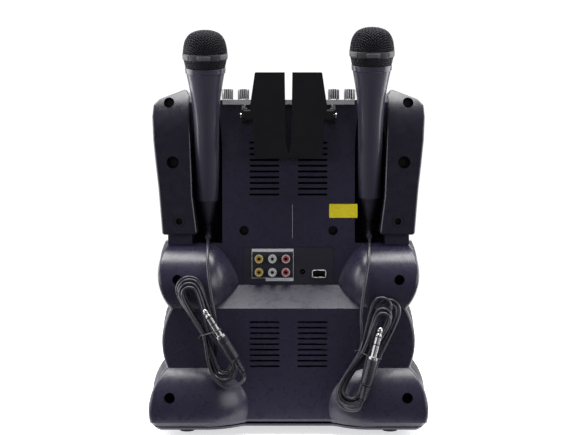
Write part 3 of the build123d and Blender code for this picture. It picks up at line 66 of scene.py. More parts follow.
# ------------------------------------------------------------------ node helpers
class Tree:
    """Short way to put a node material together."""

    def __init__(self, name):
        self.mat = bpy.data.materials.new(name)
        self.mat.use_nodes = True
        self.nt = self.mat.node_tree
        self.nt.nodes.clear()
        self.out = self.nt.nodes.new("ShaderNodeOutputMaterial")
        self.bsdf = self.nt.nodes.new("ShaderNodeBsdfPrincipled")
        self.nt.links.new(self.bsdf.outputs[0], self.out.inputs["Surface"])
        self.coord = self.nt.nodes.new("ShaderNodeTexCoord")

    def link(self, a, b):
        self.nt.links.new(a, b)

    def node(self, kind, **props):
        n = self.nt.nodes.new(kind)
        for k, v in props.items():
            setattr(n, k, v)
        return n

    def place(self, stretch=(1, 1, 1), turn=(0, 0, 0), offset=(0, 0, 0)):
        m = self.node("ShaderNodeMapping")
        m.inputs["Scale"].default_value = stretch
        m.inputs["Rotation"].default_value = turn
        m.inputs["Location"].default_value = offset
        self.link(self.coord.outputs["Object"], m.inputs["Vector"])
        return m.outputs["Vector"]

    def noise(self, scale, detail=3.0, rough=0.5, vector=None, distortion=0.0):
        n = self.node("ShaderNodeTexNoise")
        n.inputs["Scale"].default_value = scale
        n.inputs["Detail"].default_value = detail
        n.inputs["Roughness"].default_value = rough
        n.inputs["Distortion"].default_value = distortion
        self.link(vector or self.coord.outputs["Object"], n.inputs["Vector"])
        return n.outputs["Fac"]

    def voronoi(self, scale, vector=None, feature="F1"):
        n = self.node("ShaderNodeTexVoronoi", feature=feature)
        n.inputs["Scale"].default_value = scale
        self.link(vector or self.coord.outputs["Object"], n.inputs["Vector"])
        return n.outputs["Distance"]

    def ramp(self, fac, stops):
        n = self.node("ShaderNodeValToRGB")
        e = n.color_ramp.elements
        while len(e) < len(stops):
            e.new(0.5)
        for i, (pos, col) in enumerate(stops):
            e[i].position = pos
            e[i].color = (*col, 1.0) if len(col) == 3 else col
        self.link(fac, n.inputs["Fac"])
        return n.outputs["Color"]

    def span(self, fac, lo, hi, a=0.3, b=0.7):
        n = self.node("ShaderNodeMapRange")
        n.inputs["From Min"].default_value = a
        n.inputs["From Max"].default_value = b
        n.inputs["To Min"].default_value = lo
        n.inputs["To Max"].default_value = hi
        self.link(fac, n.inputs["Value"])
        return n.outputs["Result"]

    def math(self, op, a, b=None, c=None):
        n = self.node("ShaderNodeMath", operation=op)
        for i, v in enumerate((a, b, c)):
            if v is None:
                continue
            if isinstance(v, (int, float)):
                n.inputs[i].default_value = v
            else:
                self.link(v, n.inputs[i])
        return n.outputs[0]

    def mix(self, fac, a, b):
        n = self.node("ShaderNodeMix", data_type="RGBA")
        self.link(fac, n.inputs["Factor"])
        for key, v in ((6, a), (7, b)):
            if isinstance(v, tuple):
                n.inputs[key].default_value = (*v, 1.0)
            else:
                self.link(v, n.inputs[key])
        return n.outputs[2]

    def bump(self, height, strength, distance, below=None):
        n = self.node("ShaderNodeBump")
        n.inputs["Strength"].default_value = strength
        n.inputs["Distance"].default_value = distance
        self.link(height, n.inputs["Height"])
        if below is not None:
            self.link(below, n.inputs["Normal"])
        return n.outputs["Normal"]

    def set(self, **values):
        names = {"rough": "Roughness", "metal": "Metallic", "spec": "Specular IOR Level", "coat": "Coat Weight",
                 "coat_rough": "Coat Roughness", "sheen": "Sheen Weight", "sheen_rough": "Sheen Roughness",
                 "base": "Base Color", "ior": "IOR", "normal": "Normal", "transmission": "Transmission Weight",
                 "sss": "Subsurface Weight", "sss_scale": "Subsurface Scale", "aniso": "Anisotropic"}
        for k, v in values.items():
            s = self.bsdf.inputs[names[k]]
            if isinstance(v, tuple):
                s.default_value = (*v, 1.0)
            elif isinstance(v, (int, float)):
                s.default_value = v
            else:
                self.link(v, s)
        return self.mat


def shade(c, k):
    return tuple(min(1.0, x * k) for x in c)


def moulded(name, colour, rough, grain=1500.0, depth=0.00004, strength=0.30, spec=0.5, vary=0.10, spread=0.05, coat=0.0):
    """Moulded plastic: spark-eroded grain, faint flow clouds, a little uneven gloss."""
    t = Tree(name)
    clouds = t.noise(9.0, 3.0, 0.55)
    fine = t.noise(grain, 2.0, 0.6)
    mid = t.noise(120.0, 3.0, 0.6)
    base = t.ramp(clouds, [(0.32, shade(colour, 1 - vary)), (0.68, shade(colour, 1 + vary))])
    r = t.span(mid, rough - spread, rough + spread)
    return t.set(base=base, rough=r, spec=spec, coat=coat, normal=t.bump(fine, strength, depth))


def rubber(name, colour, rough, grain=900.0, sheen=0.0, spec=0.45, strength=0.35):
    t = Tree(name)
    base = t.ramp(t.noise(60.0, 4.0, 0.6), [(0.3, shade(colour, 0.8)), (0.7, shade(colour, 1.3))])
    r = t.span(t.noise(300.0, 3.0), rough - 0.06, rough + 0.08)
    return t.set(base=base, rough=r, spec=spec, sheen=sheen, normal=t.bump(t.noise(grain, 3.0), strength, 0.00005))


def metal(name, colour, rough, brush=(1, 1, 1), scale=300.0, strength=0.12, vary=0.08, spread=0.06, full=1.0):
    """Bright or brushed metal: stretched noise gives the brushing."""
    t = Tree(name)
    v = t.place(stretch=brush)
    lines = t.noise(scale, 5.0, 0.7, vector=v)
    base = t.ramp(lines, [(0.25, shade(colour, 1 - vary)), (0.75, shade(colour, 1 + vary))])
    r = t.span(lines, max(0.03, rough - spread), rough + spread)
    return t.set(base=base, rough=r, metal=full, normal=t.bump(lines, strength, 0.00003))


def painted(name, colour, rough, grain=700.0):
    t = Tree(name)
    speck = t.noise(grain, 4.0, 0.65)
    base = t.ramp(t.noise(25.0, 3.0), [(0.3, shade(colour, 0.85)), (0.7, shade(colour, 1.2))])
    return t.set(base=base, rough=t.span(speck, rough - 0.07, rough + 0.07), spec=0.5, coat=0.15,
                 normal=t.bump(speck, 0.35, 0.00006))


# ------------------------------------------------------------------ materials
BODY = (0.0250, 0.0222, 0.0465)
M = {}
M["body"] = moulded("body_plastic", BODY, 0.29, spec=0.75)
# pod covers: the body plastic made darker, painted shade that offsets the stronger light the pods catch
M["pods"] = moulded("pod_plastic_painted_shade", shade(BODY, 0.54), 0.30, grain=1400.0, spec=0.75)
# front cabinet: the body plastic made darker, painted shade that offsets the strong light on the front
M["cabinet"] = moulded("cabinet_plastic_painted_shade", shade(BODY, 0.80), 0.32, grain=1700.0, spec=0.7)
M["panel"] = moulded("panel_plastic", (0.014, 0.0135, 0.019), 0.33, grain=2100.0, coat=0.1)
M["cradle"] = moulded("cradle_plastic", (0.0044, 0.0042, 0.0068), 0.55, grain=1100.0, strength=0.5, spec=0.25)
M["bracket"] = moulded("bracket_plastic", (0.012, 0.012, 0.014), 0.55, grain=1200.0, strength=0.4, spec=0.35)
M["dark"] = moulded("dark_plastic", (0.02, 0.02, 0.022), 0.5)
M["tray"] = moulded("tray_plastic", (0.022, 0.022, 0.027), 0.42, grain=1600.0)
M["button"] = moulded("button_plastic", (0.09, 0.09, 0.105), 0.36, grain=2200.0, coat=0.2)
M["switch"] = moulded("switch_plastic", (0.035, 0.035, 0.038), 0.34, grain=2200.0, coat=0.2)
M["handle"] = moulded("handle_lacquer", (0.050, 0.047, 0.076), 0.24, grain=2600.0, depth=0.00002, strength=0.2,
                      vary=0.08, spread=0.03, spec=0.8)
M["foot"] = rubber("foot_rubber", (0.02, 0.02, 0.02), 0.7)
M["cord"] = rubber("cord_jacket", (0.024, 0.023, 0.036), 0.30, grain=1400.0, spec=0.75, strength=0.08)
M["boot"] = rubber("boot_rubber", (0.018, 0.017, 0.026), 0.42, grain=1100.0)
M["bush"] = rubber("bush_rubber", (0.034, 0.032, 0.050), 0.36, grain=1100.0, spec=0.6)
M["plug_body"] = rubber("plug_body", (0.022, 0.021, 0.031), 0.30, grain=1800.0, strength=0.12)
M["tie"] = rubber("tie_jacket", (0.045, 0.045, 0.052), 0.42, grain=1400.0)
M["trim"] = metal("bright_trim", (0.86, 0.865, 0.88), 0.30, brush=(0.05, 1, 1), scale=900.0, strength=0.05, full=0.5)
# knob chrome: a near-white, mostly non-metal base, a painted reflection of bright surroundings in place of a mirror
# finish
M["chrome"] = metal("knob_chrome_painted_reflection", (0.92, 0.92, 0.94), 0.25, scale=500.0, strength=0.03, vary=0.05, spread=0.04, full=0.2)
M["plug_metal"] = metal("plug_nickel", (0.40, 0.40, 0.41), 0.27, scale=500.0, strength=0.04, vary=0.06, spread=0.05)
M["frame"] = metal("frame_silver", (0.80, 0.82, 0.90), 0.27, brush=(0.08, 1, 1), scale=700.0, strength=0.05, full=0.3)
M["rod"] = metal("rod_steel", (0.62, 0.62, 0.64), 0.16, brush=(1, 0.03, 1), scale=1200.0)
M["pin"] = metal("pin_steel", (0.60, 0.60, 0.62), 0.28, brush=(0.05, 1, 1), scale=900.0)
M["screw"] = metal("screw_black", (0.12, 0.12, 0.125), 0.38, scale=900.0, strength=0.2)
M["basket"] = metal("basket_steel", (0.34, 0.34, 0.35), 0.42, scale=200.0, strength=0.15)
M["sink"] = metal("sink_aluminium", (0.62, 0.63, 0.64), 0.38, brush=(1, 0.04, 1), scale=900.0)
M["socket"] = metal("socket_nickel", (0.55, 0.55, 0.57), 0.26, scale=700.0)
M["ring_pad"] = metal("ring_pad_silver", (0.12, 0.119, 0.135), 0.55, scale=900.0, strength=0.08, full=0.25)
M["ring"] = painted("ring_lacquer", (0.015, 0.0145, 0.022), 0.50)
M["wire"] = moulded("grille_wire", (0.014, 0.0135, 0.022), 0.38, grain=2500.0, spec=0.32)
M["grille"] = painted("speaker_grille_paint", (0.03, 0.03, 0.036), 0.40)
M["magnet"] = painted("magnet_ferrite", (0.06, 0.06, 0.064), 0.62, grain=500.0)


def lens_material():
    """Milky light column: clear coat over white stock, fine upright flutes."""
    t = Tree("lens_plastic")
    flutes = t.node("ShaderNodeTexWave", wave_type="BANDS", bands_direction="Y", wave_profile="SIN")
    flutes.inputs["Scale"].default_value = 120.0
    flutes.inputs["Distortion"].default_value = 0.0
    t.link(t.coord.outputs["Object"], flutes.inputs["Vector"])
    milk = t.ramp(t.noise(14.0, 3.0), [(0.3, (0.31, 0.315, 0.33)), (0.7, (0.39, 0.395, 0.41))])
    t.bsdf.inputs["Subsurface Radius"].default_value = (1.0, 1.0, 1.0)
    return t.set(base=milk, rough=t.span(t.noise(200.0), 0.16, 0.26), spec=0.5, coat=0.5, sss=0.15, sss_scale=0.01,
                 normal=t.bump(flutes.outputs["Fac"], 0.25, 0.0002))


def lamp_material():
    t = Tree("lamp_strip")
    cells = t.voronoi(90.0)
    base = t.ramp(cells, [(0.18, (0.95, 0.90, 0.62)), (0.30, (0.80, 0.80, 0.76))])
    return t.set(base=base, rough=t.span(t.noise(200.0), 0.35, 0.5), normal=t.bump(cells, 0.4, 0.0003))


def board_material():
    """Green board: copper runs under the mask, pale component legends left out."""
    t = Tree("board_green")
    v = t.place(stretch=(1, 1, 1))
    brick = t.node("ShaderNodeTexBrick", offset=0.37, squash=1.0)
    brick.inputs["Scale"].default_value = 260.0
    brick.inputs["Mortar Size"].default_value = 0.06
    brick.inputs["Color1"].default_value = (0.012, 0.085, 0.035, 1)
    brick.inputs["Color2"].default_value = (0.016, 0.11, 0.045, 1)
    brick.inputs["Mortar"].default_value = (0.03, 0.20, 0.08, 1)
    t.link(v, brick.inputs["Vector"])
    return t.set(base=brick.outputs["Color"], rough=t.span(t.noise(150.0), 0.3, 0.45), coat=0.3,
                 normal=t.bump(brick.outputs["Fac"], 0.3, 0.0001))


def cone_material():
    t = Tree("cone_paper")
    fibres = t.noise(500.0, 6.0, 0.75, distortion=1.5)
    base = t.ramp(fibres, [(0.3, (0.018, 0.018, 0.019)), (0.7, (0.045, 0.044, 0.043))])
    return t.set(base=base, rough=t.span(fibres, 0.75, 0.95), spec=0.25, normal=t.bump(fibres, 0.6, 0.0001))


def gear_material():
    t = Tree("gear_plastic")
    t.bsdf.inputs["Subsurface Radius"].default_value = (1.0, 1.0, 1.0)
    base = t.ramp(t.noise(40.0), [(0.3, (0.70, 0.68, 0.62)), (0.7, (0.80, 0.79, 0.74))])
    return t.set(base=base, rough=t.span(t.noise(300.0), 0.34, 0.46), sss=0.08, sss_scale=0.004,
                 normal=t.bump(t.noise(1200.0), 0.2, 0.00004))


def glass_material():
    """Dark screen window: smoked gloss with faint wipe marks."""
    t = Tree("window_glass")
    v = t.place(stretch=(1, 1, 0.25), turn=(0, 0.5, 0))
    wipe = t.noise(24.0, 4.0, 0.6, vector=v)
    base = t.ramp(wipe, [(0.3, (0.003, 0.0032, 0.004)), (0.7, (0.006, 0.0062, 0.008))])
    return t.set(base=base, rough=t.span(wipe, 0.045, 0.10), spec=0.5, coat=0.25, coat_rough=0.03,
                 normal=t.bump(t.noise(6.0), 0.02, 0.0004))


def phono_material(name, x, ring, insert, bore_shade):
    """Phono jack: pale moulded ring, coloured insert inside it, the bore a dark tint of the insert as painted shade;
    the two rows are 14 mm apart.
    """
    t = Tree(name)
    xyz = t.node("ShaderNodeSeparateXYZ")
    t.link(t.coord.outputs["Object"], xyz.inputs[0])
    dx = t.math("SUBTRACT", xyz.outputs["X"], x * MM)
    dz = t.math("SUBTRACT", t.math("ABSOLUTE", t.math("SUBTRACT", xyz.outputs["Z"], 0.1723)), 0.0070)
    rad = t.math("SQRT", t.math("ADD", t.math("MULTIPLY", dx, dx), t.math("MULTIPLY", dz, dz)))
    grain = t.noise(900.0, 3.0)
    inner = t.ramp(t.math("MULTIPLY", rad, 100.0),
                   [(0.0, bore_shade), (0.172, bore_shade), (0.18, insert), (0.285, insert), (0.30, ring), (1.0, ring)])
    tint = t.mix(t.span(grain, 0.0, 0.25), inner, shade(ring, 0.75))
    return t.set(base=tint, rough=t.span(grain, 0.28, 0.40), spec=0.5, coat=0.15, normal=t.bump(grain, 0.2, 0.00004))


def port_material():
    """Metal socket: steel shell; the near-black well is the tongue's own dark plastic and painted shade on the rest
    of the well.
    """
    t = Tree("port_steel")
    xyz = t.node("ShaderNodeSeparateXYZ")
    t.link(t.coord.outputs["Object"], xyz.inputs[0])
    dx = t.math("MULTIPLY", t.math("ABSOLUTE", t.math("ADD", xyz.outputs["X"], 0.0320)), 1 / 0.0068)
    dz = t.math("MULTIPLY", t.math("ABSOLUTE", t.math("SUBTRACT", xyz.outputs["Z"], 0.1634)), 1 / 0.0034)
    # inside the opening: near-black, painted shade in the well over the dark tongue
    base = t.ramp(t.math("MAXIMUM", dx, dz), [(0.0, (0.012, 0.012, 0.014)), (0.93, (0.016, 0.016, 0.018)), (0.97, (0.70, 0.70, 0.72))])
    lines = t.noise(500.0, 5.0, 0.7)
    return t.set(base=base, rough=t.span(lines, 0.22, 0.34), metal=0.5, normal=t.bump(lines, 0.12, 0.00003))


def jack_plate_material():
    """Recessed plate round the sockets: fine brushed black."""
    t = Tree("jack_plate")
    v = t.place(stretch=(0.04, 1, 1))
    lines = t.noise(1600.0, 4.0, 0.7, vector=v)
    base = t.ramp(lines, [(0.3, (0.018, 0.017, 0.028)), (0.7, (0.025, 0.024, 0.038))])
    return t.set(base=base, rough=t.span(lines, 0.36, 0.50), spec=0.5, normal=t.bump(lines, 0.15, 0.00003))


def label_material():
    """Blank yellow sticker: printed stock with faint mottling and a soft satin film."""
    t = Tree("label_yellow")
    pulp = t.noise(350.0, 4.0)
    base = t.ramp(pulp, [(0.3, (0.84, 0.70, 0.016)), (0.7, (0.96, 0.82, 0.030))])
    return t.set(base=base, rough=t.span(pulp, 0.40, 0.55), spec=0.4, normal=t.bump(pulp, 0.15, 0.00003))


def ink_material():
    t = Tree("pale_ink")
    pulp = t.noise(700.0, 3.0)
    base = t.ramp(pulp, [(0.3, (0.42, 0.42, 0.45)), (0.7, (0.55, 0.55, 0.58))])
    return t.set(base=base, rough=t.span(pulp, 0.5, 0.6), normal=t.bump(pulp, 0.1, 0.00002))


def foam_material():
    t = Tree("grille_foam")
    pores = t.voronoi(1400.0)
    base = t.ramp(pores, [(0.1, (0.0012, 0.0012, 0.0013)), (0.6, (0.005, 0.005, 0.0055))])
    return t.set(base=base, rough=t.span(pores, 0.85, 0.98), spec=0.15, normal=t.bump(pores, 0.8, 0.0002))


# near-black stock for the knobs' pointer marks and recessed flutes: the pointer is its own dark colour, on the flutes
# it is painted shade
def pointer_and_groove_shade():
    t = Tree("knob_pointer_and_flute_shade")
    grain = t.noise(600.0)
    base = t.ramp(grain, [(0.3, (0.018, 0.018, 0.021)), (0.7, (0.034, 0.034, 0.038))])
    return t.set(base=base, rough=t.span(grain, 0.35, 0.5), spec=0.5, normal=t.bump(grain, 0.2, 0.00003))


M["lens"] = lens_material()
M["lamp"] = lamp_material()
M["board"] = board_material()
M["cone"] = cone_material()
M["gear"] = gear_material()
M["glass"] = glass_material()
M["jack_plate"] = jack_plate_material()
M["port"] = port_material()
M["label"] = label_material()
M["ink"] = ink_material()
M["foam"] = foam_material()
M["groove"] = pointer_and_groove_shade()
# last colour of each jack: a dark tint of its insert, painted shade in the bore
M["jack_yellow"] = phono_material("jack_yellow", 30.9, (0.80, 0.70, 0.36), (0.50, 0.30, 0.015), (0.05, 0.03, 0.005))
M["jack_white"] = phono_material("jack_white", 16.9, (0.80, 0.80, 0.82), (0.60, 0.60, 0.62), (0.010, 0.010, 0.012))
M["jack_red"] = phono_material("jack_red", 2.8, (0.78, 0.60, 0.60), (0.42, 0.025, 0.030), (0.03, 0.004, 0.004))

NODE_MATERIAL = {
    "rear_cover": "body", "pod_cover_left": "pods", "pod_cover_right": "pods", "front_cabinet": "cabinet",
    "light_columns": "lens", "led_strips": "lamp", "rubber_feet": "foot", "control_panel": "panel",
    "top_trim": "trim", "mic_input_jacks": "socket", "display_window": "glass", "display_panel": "dark",
    "speaker_grille": "grille", "speaker_basket": "basket", "speaker_cone": "cone", "speaker_magnet": "magnet",
    "mechanism_frame": "dark", "guide_rods": "rod", "circuit_boards": "board", "heat_sink": "sink",
    "jack_panel": "jack_plate", "phono_jacks_yellow": "jack_yellow", "phono_jacks_white": "jack_white",
    "phono_jacks_red": "jack_red", "power_jack": "dark", "data_port": "port", "cradle_brackets": "bracket",
    "hinge_pins": "pin", "case_screws": "screw", "push_button_1": "button", "push_button_2": "button",
    "push_button_3": "button", "disc_tray": "tray", "tray_front": "cabinet", "drive_gear": "gear",
    "turntable": "dark", "pickup_sled": "dark", "cradle_plate": "cradle",
    "mic_handle_left": "handle", "mic_handle_right": "handle", "mic_cord_bush_left": "bush",
    "mic_cord_bush_right": "bush", "mic_switch_left": "switch", "mic_switch_right": "switch",
}
for node_name, key in NODE_MATERIAL.items():
    ob = NODES[node_name]
    if not ob.material_slots:
        ob.data.materials.append(M[key])
    for slot in ob.material_slots:
        slot.material = M[key]


# ------------------------------------------------------------------ mesh helpers (points in millimetres)
def mesh_piece(name, verts, faces, mats, face_mats=None, smooth=True):
    me = bpy.data.meshes.new(name)
    me.from_pydata([tuple(c * MM for c in v) for v in verts], [], faces)
    for m in mats:
        me.materials.append(m)
    if face_mats:
        me.polygons.foreach_set("material_index", face_mats)
    me.polygons.foreach_set("use_smooth", [smooth] * len(me.polygons))
    me.update()
    ob = bpy.data.objects.new(name, me)
    scene.collection.objects.link(ob)
    return ob


def sharpen(ob, angle=35.0):
    """Keeps creases crisp on a smooth-shaded piece."""
    me = ob.data
    normals = [p.normal.copy() for p in me.polygons]
    by_edge = {}
    for p in me.polygons:
        for k in p.edge_keys:
            by_edge.setdefault(k, []).append(p.index)
    limit = cos(radians(angle))
    for e in me.edges:
        near = by_edge.get(tuple(sorted(e.vertices)), [])
        e.use_edge_sharp = len(near) != 2 or normals[near[0]].dot(normals[near[1]]) < limit
    return ob


def basis(direction, side=Vector((1, 0, 0))):
    d = Vector(direction).normalized()
    e1 = (side - d * side.dot(d)).normalized()
    return d, e1, d.cross(e1)


def lathe(name, profile, origin, direction, mats, zones=None, seg=48, closed=False, side=Vector((1, 0, 0)), radius=None):
    """Turns (r, along) points about an axis. zones gives a material index per profile step;
    radius(r, along, angle) may reshape the turn."""
    d, e1, e2 = basis(direction, side)
    o = Vector(origin)
    verts, faces, fm = [], [], []
    rows = []
    for r, a in profile:
        if r < 1e-6:
            rows.append([len(verts)])
            verts.append(o + d * a)
        else:
            row = []
            for k in range(seg):
                ang = 2 * pi * k / seg
                rr = radius(r, a, ang) if radius else r
                row.append(len(verts))
                verts.append(o + d * a + (e1 * cos(ang) + e2 * sin(ang)) * rr)
            rows.append(row)
    pairs = list(zip(rows, rows[1:])) + ([(rows[-1], rows[0])] if closed else [])
    for i, (lo, hi) in enumerate(pairs):
        z = zones[i] if zones else 0
        for k in range(seg):
            n = (k + 1) % seg
            if len(lo) == 1 and len(hi) == 1:
                continue
            if len(lo) == 1:
                faces.append((lo[0], hi[n], hi[k]))
            elif len(hi) == 1:
                faces.append((lo[k], lo[n], hi[0]))
            else:
                faces.append((lo[k], lo[n], hi[n], hi[k]))
            fm.append(z(k) if callable(z) else z)
    return mesh_piece(name, verts, faces, mats, fm)


def tube_data(path, radius, sides, caps=True, closed=False, squash=None, up=None):
    """Verts and faces of a tube round a list of points; radius is a number or one per point."""
    pts = [Vector(p) for p in path]
    n = len(pts)
    rad = radius if isinstance(radius, (list, tuple)) else [radius] * n
    verts, faces = [], []
    prev = None
    for i, p in enumerate(pts):
        a = pts[(i - 1) % n] if (closed or i) else pts[0]
        b = pts[(i + 1) % n] if (closed or i < n - 1) else pts[-1]
        t = (b - a).normalized()
        if prev is None:
            prev = up if up is not None else (Vector((0, 0, 1)) if abs(t.z) < 0.9 else Vector((1, 0, 0)))
        u = (prev - t * prev.dot(t)).normalized()
        w = t.cross(u)
        prev = u
        for k in range(sides):
            ang = 2 * pi * k / sides
            verts.append(p + (u * cos(ang) + w * sin(ang)) * rad[i])
    for i in range(n if closed else n - 1):
        j = (i + 1) % n
        for k in range(sides):
            m = (k + 1) % sides
            faces.append((i * sides + k, i * sides + m, j * sides + m, j * sides + k))
    if caps and not closed:
        faces.append(tuple(reversed(range(sides))))
        faces.append(tuple(range((n - 1) * sides, n * sides)))
    return verts, faces


def joined(parts):
    verts, faces = [], []
    for v, f in parts:
        k = len(verts)
        verts += v
        faces += [tuple(i + k for i in q) for q in f]
    return verts, faces


def box_data(lo, hi, chamfer=0.0):
    """Block with small chamfers on all its edges."""
    c = chamfer
    verts = []
    index = {}
    for i, x in enumerate((lo[0], hi[0])):
        for j, y in enumerate((lo[1], hi[1])):
            for k, z in enumerate((lo[2], hi[2])):
                sx, sy, sz = (1, -1)[i], (1, -1)[j], (1, -1)[k]
                for axis, off in enumerate(((0, sy * c, sz * c), (sx * c, 0, sz * c), (sx * c, sy * c, 0))):
                    index[(i, j, k, axis)] = len(verts)
                    verts.append(Vector((x + off[0], y + off[1], z + off[2])))
    faces = []
    for axis in range(3):
        for s in (0, 1):
            ring = [(0, 0), (1, 0), (1, 1), (0, 1)]
            quad = []
            for a, b in ring:
                key = [0, 0, 0]
                key[axis] = s
                key[(axis + 1) % 3] = a
                key[(axis + 2) % 3] = b
                quad.append(index[(*key, axis)])
            faces.append(tuple(quad if s else reversed(quad)))
    for axis in range(3):
        b_, c_ = (axis + 1) % 3, (axis + 2) % 3
        for p in (0, 1):
            for q in (0, 1):
                ends = []
                for s in (0, 1):
                    key = [0, 0, 0]
                    key[axis], key[b_], key[c_] = s, p, q
                    ends.append((index[(*key, b_)], index[(*key, c_)]))
                quad = (ends[0][0], ends[0][1], ends[1][1], ends[1][0])
                faces.append(quad if (p + q) % 2 else tuple(reversed(quad)))
    for i in (0, 1):
        for j in (0, 1):
            for k in (0, 1):
                tri = (index[(i, j, k, 0)], index[(i, j, k, 1)], index[(i, j, k, 2)])
                faces.append(tri if (i + j + k) % 2 == 0 else tuple(reversed(tri)))
    return verts, faces


def outward(ob):
    """Makes every face point out of its own shell."""
    import bmesh
    bm = bmesh.new()
    bm.from_mesh(ob.data)
    bmesh.ops.recalc_face_normals(bm, faces=bm.faces)
    bm.to_mesh(ob.data)
    bm.free()
    ob.data.update()
    return ob


# ------------------------------------------------------------------ cords
EXIT = {s: seat(s, -128.0) for s in (1, -1)}
ROUTE = {
    1: [tuple(EXIT[1]), (85.0, 52.5, 208.7), (84.8, 58.5, 202.6), (84.3, 70.5, 201.4), (83.6, 85.0, 198.0),
        (82.9, 98.6, 188.8), (82.0, 108.6, 174.6), (80.2, 114.0, 157.6), (77.3, 116.4, 139.6), (73.4, 117.2, 121.0)],
    -1: [tuple(EXIT[-1]), (-85.0, 53.3, 211.4), (-84.9, 58.6, 204.6), (-84.5, 70.0, 202.0), (-83.9, 84.6, 198.6),
         (-82.6, 98.4, 189.4), (-80.6, 108.8, 175.0), (-77.4, 114.0, 158.0), (-74.6, 116.2, 140.0),
         (-73.0, 117.4, 122.0), (-74.4, 118.4, 103.0)],
}
# hank frame: top of its axis (x, z), unit vector down it, unit vector across it, back plane
HANK = {
    1: ((101.54, 163.03), (-0.3677, -0.9300), (-0.930, 0.368), ((166.0, 108.8), (50.0, 112.6))),
    -1: ((-100.62, 142.75), (0.3407, -0.9402), (-0.940, -0.341), ((144.0, 107.0), (35.0, 121.0))),
}
PLUG = {1: ((84.5, 128.9, 133.0), (45.3, 131.0, 69.8)), -1: ((-92.3, 129.9, 115.0), (-72.5, 139.2, 42.1))}


def on_hank(side, s, w, depth):
    (tx, tz), (ux, uz), (vx, vz), ((z0, y0), (z1, y1)) = HANK[side]
    x, z = tx + ux * s + vx * w, tz + uz * s + vz * w
    return (x, y0 + (y1 - y0) * (z - z0) / (z1 - z0) + depth, z)


def fold(end, centre, r, depth, down, e=1.0):
    """Four control points of one turned-back end of a lap, from its left side to its right."""
    sgn = 1 if down else -1
    c = end - sgn * r * e
    return [(c + sgn * 0.414 * r * e, centre - r, depth), (c + sgn * r * e, centre - 0.414 * r, depth),
            (c + sgn * r * e, centre + 0.414 * r, depth), (c + sgn * 0.414 * r * e, centre + r, depth)]


def leg(a, b):
    """Two points between the waist and the side of a fold; the side bows out."""
    (s0, w0, d0), (s1, w1, d1) = a, b
    return [(s0 + 0.34 * (s1 - s0), w0 + 0.44 * (w1 - w0), d0 + 0.30 * (d1 - d0)),
            (s0 + 0.70 * (s1 - s0), w0 + 0.88 * (w1 - w0), d0 + 0.85 * (d1 - d0))]


def laps(start, turns, waist):
    """Control points of the wound turns. start: (w, depth) where the cord first crosses the waist;
    each turn is (bottom fold, (w, depth) going up, top fold, (w, depth) going down)."""
    pts = [(waist, *start)]
    for bottom, up, top, down in turns:
        f = fold(*bottom, True)
        pts += leg(pts[-1], f[0]) + f + list(reversed(leg((waist, *up), f[3]))) + [(waist, *up)]
        f = list(reversed(fold(*top, False)))
        pts += leg(pts[-1], f[0]) + f + list(reversed(leg((waist, *down), f[3]))) + [(waist, *down)]
    return pts


L0, L1, L2 = 2.2, 5.5, 8.8
TURNS = {
    1: (59.0, (7.4, L0), [
        ((102.0, 0.6, 7.6, L0), (0.5, L1), (8.0, -2.2, 8.0, L0 + 0.6), (-2.8, L0)),
        ((106.5, 0.2, 11.0, L0), (4.0, L1), (-1.0, -3.6, 13.0, L0 + 0.4), (-6.2, L0)),
        ((111.5, -0.6, 12.6, L1), (7.4, L1), (1.6, -3.4, 11.4, L1 + 0.4), (-7.0, L1)),
        ((107.5, 0.4, 9.0, L1 + 0.4), (1.8, L2), (4.8, -4.2, 9.6, L2), (-3.6, L1 + 0.6)),
        ((103.0, 2.4, 7.4, L2 - 0.4), (-1.8, L2), (8.6, -4.4, 7.4, L2 + 2.0), (-5.4, L2)),
    ]),
    -1: (60.0, (-7.8, L0), [
        ((114.5, -2.0, 14.2, L0), (12.2, L0), (1.4, 5.6, 11.4, L0), (-4.4, L0)),
        ((111.0, -2.4, 11.0, L0), (8.8, L0), (5.4, 5.2, 8.6, L0 + 0.8), (-1.0, L0)),
        ((107.5, -3.0, 8.0, L0 + 0.4), (5.4, L0 + 1.0), (1.8, -2.6, 9.8, L1), (-7.6, L1)),
        ((113.0, -3.4, 12.2, L1), (2.8, L1), (11.6, 1.4, 8.2, L2 - 0.8), (-4.2, L1)),
        ((108.0, -4.2, 9.0, L1 + 0.4), (-0.6, L1), (15.6, 2.6, 7.2, L2 + 1.4), (-5.8, L2)),
    ]),
}
# last stretch, from the waist round the outermost fold into the plug's tail
LAST = {
    1: [(70.0, -8.4, 9.0), (83.0, -11.6, 8.6), (97.0, -13.2, 7.4), (108.0, -11.6, 6.6), (115.8, -6.2, 6.4),
        (118.6, 1.4, 7.4), (118.4, 9.4, 10.2), (115.4, 16.0, 14.6), (110.8, 18.4, 18.4), (107.0, 17.9, 19.1)],
    -1: [(70.0, -9.4, 9.0), (83.0, -14.0, 8.8), (96.0, -16.6, 8.2), (107.0, -16.2, 7.4), (115.2, -11.6, 7.0),
         (118.4, -4.6, 7.6), (117.4, 3.0, 10.4), (113.4, 8.0, 14.6), (108.4, 8.5, 18.2), (104.0, 7.9, 19.3)],
}

